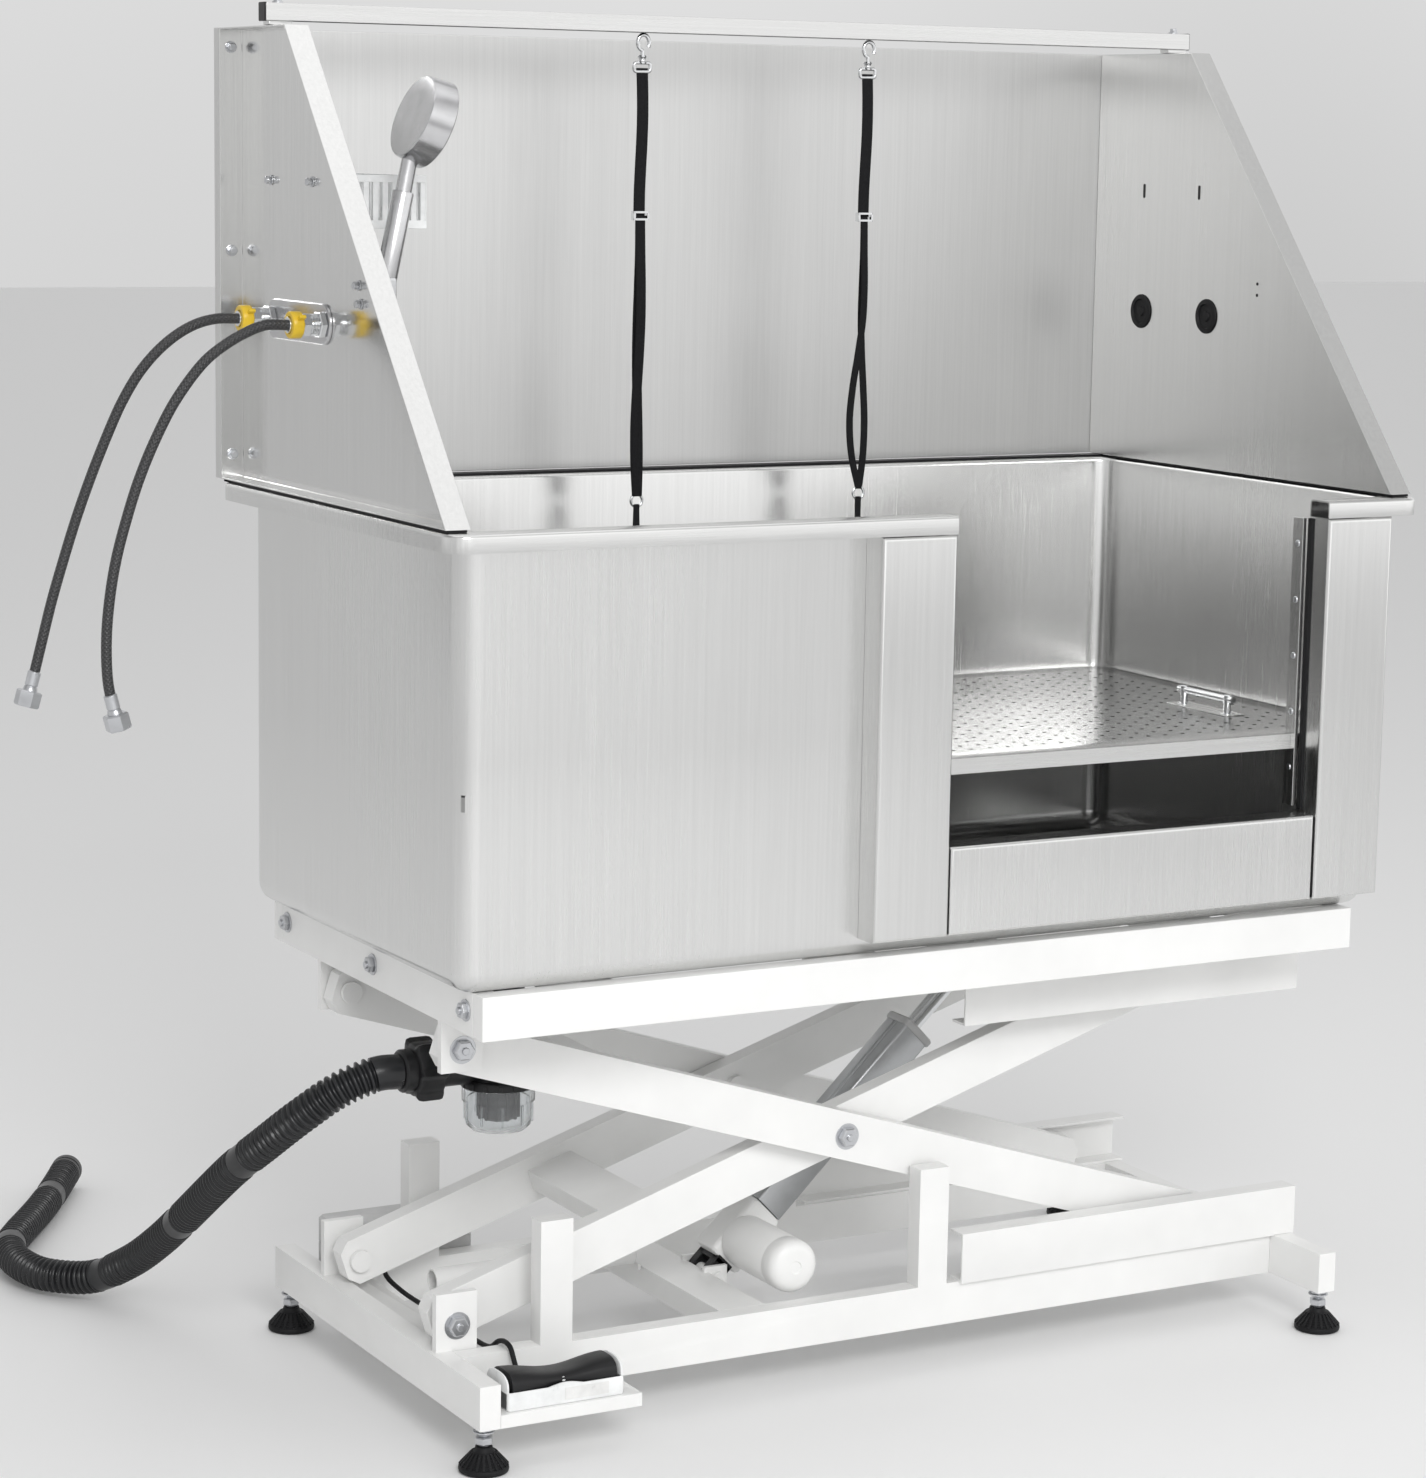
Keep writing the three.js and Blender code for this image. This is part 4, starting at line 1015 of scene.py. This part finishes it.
# ---- water ----
REAR_HOSE = [
    (-652, 1224), (-676, 1224), (-699, 1219), (-722, 1208), (-746, 1190), (-770, 1164),
    (-791, 1131), (-811, 1089), (-830, 1044), (-847, 999), (-862, 954), (-876, 909), (-888, 864),
    (-898, 826), (-903, 808),
]
FRONT_HOSE = [
    (-652, 1224), (-678, 1224), (-705, 1214), (-728, 1201), (-750, 1184), (-783, 1143),
    (-807, 1100), (-826, 1057), (-841, 1013), (-853, 970), (-861, 926), (-865, 882), (-864, 838),
    (-860, 815), (-856, 800),
]


def inlets():
    y0, y1, z = INLETS["front"], INLETS["rear"], INLETS["z"]
    middle = (y0 + y1) / 2
    plate = Shape()
    loops = []
    for inset, h in ((0, 0), (0, 2.4), (1.3, 3.6)):
        loops.append([(a, b, h) for a, b in rounded(23 - inset, 93 - inset, 22.9 - inset, 10)])
    turn = Matrix(((0, 0, -1, -604.8), (0, 1, 0, middle), (1, 0, 0, z), (0, 0, 0, 1)))
    plate.loft(loops, turn)
    show("inlet_plate", plate, "platform", SATIN, ["water_inlets"], edge=0.3)
    unions, clamps = Shape(), Shape()
    for y in (y0, y1):
        put = facing(-608.4, y, z, (-1, 0, 0))
        unions.hexes([(14.6, 0), (16, 1.2), (16, 7), (14.6, 8.2)], put)
        thread = [(12.5, 8)]
        for i in range(5):
            thread += [(11.2, 8.6 + i * 1.8), (12.4, 9.5 + i * 1.8)]
        thread += [(11.4, 17.6)]
        unions.turned(thread, put, 32)
        unions.hexes([(12.6, 17.4), (14.2, 18.8), (14.2, 27), (12.8, 28.4)], put)
        unions.turned([(11, 28), (10.4, 29), (9.6, 35), (9, 43.4), (6.4, 43.6)], put, 32)
        clamps.turned([(10.4, 27.6), (14.4, 27.6), (15.2, 29), (15.2, 40), (14.4, 41.4), (9.6, 41.4)],
                      put, 40, closed=True)
        for turn_by in (0.5, 0.5 + pi):
            wing = put @ Matrix.Rotation(turn_by, 4, "Z")
            clamps.box(13.6, 22, -2, 2, 28, 36, wing)
    show("inlet_unions", unions, "platform", CHROME, edge=0.25)
    show("hose_clamps", clamps, "platform", YELLOW, edge=0.9)


def hose_nut(name, route, y):
    """The swivel nut on a supply hose's end, with its crimped sleeve."""
    (ax, az), (bx, bz) = route[-2:]
    direction = Vector((bx - ax, 0, bz - az)).normalized()
    shape = Shape()
    put = facing(bx, y, bz, direction)
    sleeve = [(6.2, -22), (7.6, -21), (7.6, -6), (6.8, -5), (7.6, -4), (8.6, 0.5), (6, 0.6)]
    shape.turned(sleeve, put, 32)
    shape.hexes([(12.6, 0.4), (14.8, 2), (14.8, 17), (13.4, 19)], put, (True, False))
    shape.hexes([(13.4, 19), (10.4, 19.2), (10.2, 9)], put, (False, True))
    return show(name + "_swivel", shape, "platform", ZINC, [name], edge=0.25)


def supply_hoses():
    for end, route, y in (("rear", REAR_HOSE, INLETS["rear"]), ("front", FRONT_HOSE, INLETS["front"])):
        nut = hose_nut(f"hose_nut_{end}", route, y)
        points = [(x, y, z) for x, z in route]
        hose(f"supply_hose_{end}_braided", points, 6, "platform", BRAID, [f"supply_hose_{end}"],
             "fitting", diameter=0.012, stiffness="stiff", lay="hanging", with_pieces=[nut],
             sides=20, step=4)


def mixer():
    y0, y1, z = INLETS["front"], INLETS["rear"], INLETS["z"]
    middle = (y0 + y1) / 2
    body = Shape()
    length = y1 - y0 + 44
    put = facing(-566, y1 + 22, z, (0, -1, 0))
    profile = [(0.1, 0), (14, 0), (18, 1.5), (19.6, 5), (20, 9), (19, 14), (19, 44), (20, 50),
               (20, length - 50), (19, length - 44), (19, length - 14), (20, length - 9),
               (19.6, length - 5), (18, length - 1.5), (14, length), (0.1, length)]
    body.turned(profile, put, 48)
    for y in (y0, y1):
        body.turned([(14, 0), (22, 0), (22, 3), (18, 7), (14, 9), (13.6, 34)],
                    facing(-600, y, z, (1, 0, 0)), 40)
    body.turned([(0.1, -34), (9.4, -34), (10, -33), (10, -24), (12, -22), (12, -15), (0.1, -15)],
                placed(-566, middle, z), 32)
    show("mixer_body_cast", body, "platform", CHROME, ["mixer_body"])
    lever = Shape()
    lever.turned([(0.1, 20.4), (15.6, 20.4), (17, 21.6), (17, 32), (15, 36.6), (10, 38), (0.1, 38)],
                 placed(-566, middle, z), 40)
    loops = []
    for i in range(13):
        s = i / 12
        wide = 6 + 3 * sin(pi * (0.25 + 0.7 * s))
        loops.append([(-560 + 60 * s, middle + a, z + 33.5 + b) for a, b in rounded(wide, 3.2, 3, 4)])
    lever.loft(loops)
    show("mixer_lever_cast", lever, "mixer_handle", CHROME, ["mixer_lever"])


def handset():
    put = placed(HANDSET["x"], HANDSET["y"], HANDSET["z"]) @ Matrix.Rotation(
        HANDSET["lean"], 4, "Y")
    shape = Shape()
    shape.turned([(0.1, -22), (8, -22), (9.4, -20), (10.4, -10), (11.6, 4), (12, 20), (12, 112),
                  (11.4, 113.5), (9.2, 114), (8.8, 150), (8.8, 172), (0.1, 172)], put, 40)
    tilt = put @ placed(8, 0, 194) @ Matrix.Rotation(
        pi / 2 + HANDSET["tilt"], 4, "Y")
    head = [(0.1, -15), (45.6, -15), (46.6, -14), (49.8, 11), (49.8, 13.6), (48.6, 14.8),
            (46.4, 15), (45.6, 13.8), (0.1, 13.8)]
    shape.turned(head, tilt, 64)
    show("handset_shell", shape, "handset", SATIN, ["shower_handset"], smooth=24)
    jets = Shape()
    for ring, count in ((8, 6), (16, 12), (24, 18), (32, 24), (40, 30)):
        for i in range(count):
            t = 2 * pi * i / count
            spot = tilt @ placed(ring * cos(t), ring * sin(t), 13.6)
            jets.turned([(1.5, 0), (1.3, 1.6), (0.8, 2)], spot, 8)
    show("handset_jets", jets, "handset", RUBBER)
    finished("handset_holder", CHROME, 2.4)


SHOWER_HOSE = [
    (-566, 149, 1189.7), (-566, 149, 1165), (-565, 148, 1130), (-563, 146, 1080), (-560, 140, 1010),
    (-556, 126, 950), (-552, 100, 912), (-550, 64, 899), (-550, 28, 908), (-553, 2, 940),
    (-560, -12, 990), (-570, -18, 1050), (-580, -20, 1110), (-587, -20, 1165), (-588, -20, 1205),
    (-582, -20, 1235),
]


def shower_hose():
    def ribs(s):
        return 6.6 + 0.55 * sin(2 * pi * s / 4.0)
    hose("shower_hose_metal", SHOWER_HOSE, ribs, "platform", CHROME, ["shower_hose"], "object",
         diameter=0.014, lay="hanging", sides=14, step=1.0)
    nuts = Shape()
    nuts.turned([(7, 0), (9.4, 0), (10.6, 3), (10.6, 16), (8.4, 20), (7, 20)],
                placed(-566, 149, 1170), 32)
    nuts.turned([(7, 0), (8, 0), (10.8, 12), (10.8, 20), (7, 20)],
                facing(-586.5, -20, 1213, (0.2, 0, 1)), 32)
    show("shower_hose_nuts", nuts, "platform", CHROME)


def soap_basket():
    low, high = BASKET_LOW, BASKET_HIGH
    shape = Shape()
    wall = 2.2
    shape.box(low.x + wall, high.x - wall, low.y + wall, high.y - wall, low.z + 0.3, low.z + 2.5)
    for z0, z1 in ((low.z, low.z + 9), (high.z - 8, high.z)):
        shape.box(low.x, high.x, low.y, low.y + wall, z0, z1)
        shape.box(low.x, high.x, high.y - wall, high.y, z0, z1)
        for x0 in (low.x, high.x - wall):
            shape.box(x0, x0 + wall, low.y + wall, high.y - wall, z0, z1)
    count = 17
    for i in range(count + 1):
        y = low.y + 4 + (high.y - low.y - 8) * i / count
        shape.box(high.x - wall + 0.2, high.x - 0.2, y - 4.2, y + 4.2, low.z + 8.8, high.z - 7.8)
    for i in range(10):
        x = low.x + 4 + (high.x - low.x - 8) * i / 9
        for y0 in (low.y, high.y - wall):
            shape.box(x - 3.4, x + 3.4, y0 + 0.2, y0 + wall - 0.2, low.z + 8.8, high.z - 7.8)
    show("soap_basket_slotted", shape, "platform", WHITE_PLASTIC, ["soap_basket"], edge=0.5)


# ---- drain ----
DRAIN_ROUTE = [
    (-578.5, -70, 398), (-604, -70, 398), (-645, -60, 382), (-680, -30, 348), (-703, 22, 305),
    (-714, 80, 266), (-718, 140, 226), (-718, 200, 188), (-716, 260, 152), (-717, 320, 115),
    (-724, 380, 78), (-735, 422, 54), (-743, 449, 40), (-760, 478, 29.5), (-794, 524, 25.5),
    (-806, 568, 25.5), (-806, 614, 25.5), (-794, 660, 25.5), (-768, 706, 25.5),
    (-738, 752, 25.5), (-706, 802, 25.5), (-674, 856, 25.5), (-642, 914, 25.5), (-612, 970, 25.5),
]


def corrugated(s):
    """The drain hose's radius along it: rings, with smooth cuffs where its lengths join."""
    section = 230.0
    inside = s % section
    if inside < 26 or s < 30:
        return 19.8
    return 18.5 + 2.5 * tanh(1.8 * sin(2 * pi * s / 8.4))


def drain():
    x, y = TRAP["x"], TRAP["y"]
    put = placed(x, y, 0)
    trap = Shape()
    trap.turned([(0.1, 369.4), (36, 369.4), (43.5, 370), (43.5, 378), (42.5, 380), (40, 381),
                 (38, 384), (38, 420), (36, 430), (30, 437), (29, 440), (29, 528), (43, 529),
                 (43, 534), (0.1, 534)], put, 48)
    for spot in around(put, 16):
        trap.box(42.4, 44.6, -2, 2, 370.4, 377.6, spot)
    along = facing(x - 20, y, TRAP["outlet"], (-1, 0, 0))
    trap.turned([(0.1, 0), (23, 0), (23, 54), (21, 56), (21, 103.6), (0.1, 103.6)], along, 40)
    show("drain_trap_body", trap, "platform", BLACK, ["drain_trap"], edge=0.6)
    nut = Shape()
    wings = []
    for i in range(72):
        t = 2 * pi * i / 72
        lobe = max(0.0, cos(6 * t)) ** 3
        wings.append(((31 + 7 * lobe) * cos(t), (31 + 7 * lobe) * sin(t)))
    rings = [(0.88, 56), (0.97, 58), (1, 62), (1, 82), (0.96, 87), (0.85, 89)]
    nut.loft([[(a * k, b * k, h) for a, b in wings] for k, h in rings], along)
    nut.turned([(22, 88), (24.5, 89), (24.5, 101), (22, 103.4)], along, 40)
    show("drain_union_nut", nut, "platform", BLACK, edge=0.5, smooth=45)
    cup = Shape()
    low, high = CUP_LOW.z, CUP_HIGH.z
    outer = [(0.1, low), (24, low), (32, low + 2), (37, low + 7), (38.6, low + 13), (39.2, low + 34),
             (42, low + 35), (42, high)]
    inner = [(38, high), (37.2, low + 34), (36.6, low + 14), (34.6, low + 9), (30, low + 4.4),
             (23, low + 2.4), (0.1, low + 2.4)]
    cup.turned(outer + inner, put, 56)
    for spot in around(put, 10):
        cup.box(38.2, 40.4, -1.4, 1.4, low + 11, low + 35, spot)
    show("drain_cup_clear", cup, "platform", CLEAR, ["drain_cup"], edge=0.4)
    filter_basket = Shape()
    filter_basket.turned([(0.1, low + 12), (17, low + 12), (20, low + 15), (24, high - 2),
                          (22.6, high - 2), (18.8, low + 15), (16, low + 13.6),
                          (0.1, low + 13.6)], put, 32)
    for spot in around(put, 12):
        filter_basket.box(18, 25, -1.4, 1.4, low + 14, high - 2, spot)
    show("drain_hair_filter", filter_basket, "platform", BLACK, edge=0.3)


def drain_hose():
    line = smoothed(DRAIN_ROUTE, 1.0)
    shape = Shape().sweep(line, corrugated, 26)
    piece = show("drain_hose_corrugated", shape, None, HOSE_GREY, ["drain_hose", "drain_hose_floor"],
                 smooth=70)
    cuff = Shape()
    end, before = line[-1], line[-24]
    direction = (end - before).normalized()
    put = facing(*(end - direction * 26), direction)
    cuff.turned([(19.4, 0), (21, 1.5), (21, 9), (19.8, 10), (19.8, 13), (21, 14), (21, 25.8),
                 (17.2, 25.8), (17.2, 8)], put, 40)
    tip = show("drain_hose_cuff", cuff, "hose_run", BLACK, edge=0.4)
    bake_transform(piece)


# ---- studio ----
EYE = (-2239.66, -3809.22, 1430.72)  # fitted to the photograph's straight edges, as are the turns
YAW, PITCH, ROLL, LENS = 0.5029, -0.158, 0.0165, 91.04


def camera():
    ahead = Vector((sin(YAW) * cos(PITCH), cos(YAW) * cos(PITCH), sin(PITCH)))
    level = Vector((cos(YAW), -sin(YAW), 0))
    upright = level.cross(ahead)
    right = level * cos(ROLL) + upright * sin(ROLL)
    up = upright * cos(ROLL) - level * sin(ROLL)
    data = bpy.data.cameras.new("camera")
    data.sensor_width = 36
    data.lens = LENS
    data.clip_end = 60
    eye = bpy.data.objects.new("camera", data)
    turn = Matrix((right, up, -ahead)).transposed().to_4x4()
    eye.matrix_world = Matrix.Translation(at(*EYE)) @ turn
    SCENE.collection.objects.link(eye)
    SCENE.camera = eye


def light(name, place, target, size, power):
    data = bpy.data.lights.new(name, "AREA")
    data.shape = "RECTANGLE"
    data.size, data.size_y = size
    data.energy = power
    lamp = bpy.data.objects.new(name, data)
    lamp.location = place
    lamp.rotation_mode = "QUATERNION"
    lamp.rotation_quaternion = (Vector(place) - Vector(target)).to_track_quat("Z", "Y")
    SCENE.collection.objects.link(lamp)


def studio():
    far = 30000
    corners = [(-far, -far, 0), (far, -far, 0), (far, far, 0), (-far, far, 0)]
    floor = Shape().add(corners, [[0, 1, 2, 3]])
    mesh = bpy.data.meshes.new("studio_floor")
    mesh.from_pydata([at(*p) for p in floor.points], [], floor.faces)
    plane = bpy.data.objects.new("studio_floor", mesh)
    mesh.materials.append(Finish("studio_floor", (0.88, 0.88, 0.88), 0.6).material)
    SCENE.collection.objects.link(plane)
    world = bpy.data.worlds.new("studio")
    world.use_nodes = True
    SCENE.world = world
    tree = world.node_tree
    ramp = tree.nodes.new("ShaderNodeValToRGB")
    spots = [(0.0, 0.5), (0.5, 0.9), (0.6, 0.98), (0.72, 0.78), (0.86, 0.5), (1.0, 0.7)]
    elements = ramp.color_ramp.elements
    while len(elements) < len(spots):
        elements.new(0.5)
    for element, (position, tone) in zip(elements, spots):
        element.position = position
        element.color = (tone, tone, tone, 1)
    def node(kind, **values):
        made = tree.nodes.new("ShaderNode" + kind)
        for key, value in values.items():
            made.inputs[key.replace("_", " ")].default_value = value
        return made
    direction = node("TexCoord").outputs["Generated"]
    split = node("SeparateXYZ")
    height = node("MapRange", From_Min=-1)
    cards = node("TexNoise", Scale=1.5, Detail=1)
    depth = node("MapRange", From_Min=0.35, From_Max=0.6, To_Min=0.7, To_Max=1.08)
    toward = node("VectorMath")
    toward.operation = "DOT_PRODUCT"
    toward.inputs[1].default_value = (0.45, -0.89, 0)
    side = node("MapRange", From_Min=-1, To_Min=0.66, To_Max=1.12)
    both = node("Math")
    both.operation = "MULTIPLY"
    shaded = node("VectorMath")
    shaded.operation = "SCALE"
    background = tree.nodes["Background"]
    background.inputs["Strength"].default_value = 1.2
    for source, target in (
        (direction, split.inputs[0]), (split.outputs["Z"], height.inputs["Value"]),
        (height.outputs["Result"], ramp.inputs["Fac"]), (direction, cards.inputs["Vector"]),
        (cards.outputs["Fac"], depth.inputs["Value"]), (direction, toward.inputs[0]),
        (toward.outputs["Value"], side.inputs["Value"]), (side.outputs["Result"], both.inputs[0]),
        (depth.outputs["Result"], both.inputs[1]), (ramp.outputs["Color"], shaded.inputs[0]),
        (both.outputs["Value"], shaded.inputs["Scale"]),
        (shaded.outputs["Vector"], background.inputs["Color"]),
    ):
        tree.links.new(source, target)
    SCENE.view_settings.view_transform = "Standard"
    light("key", (-1.4, -5.0, 3.6), (0, 0, 0.7), (2.2, 1.6), 130)
    light("top", (0.2, 0.4, 4.6), (0, 0, 0), (4.6, 4.6), 36)


def main():
    camera()
    steelwork()
    bolts()
    rollers()
    feet()
    actuator()
    pedal()
    control_box()
    pedal_lead()
    conduit()
    tub_shell()
    tub_details()
    grate()
    panels()
    bar()
    strap("strap_left", -152, 2.0)
    strap("strap_right", 160, 11.0)
    inlets()
    supply_hoses()
    mixer()
    handset()
    shower_hose()
    soap_basket()
    drain()
    drain_hose()
    studio()


main()
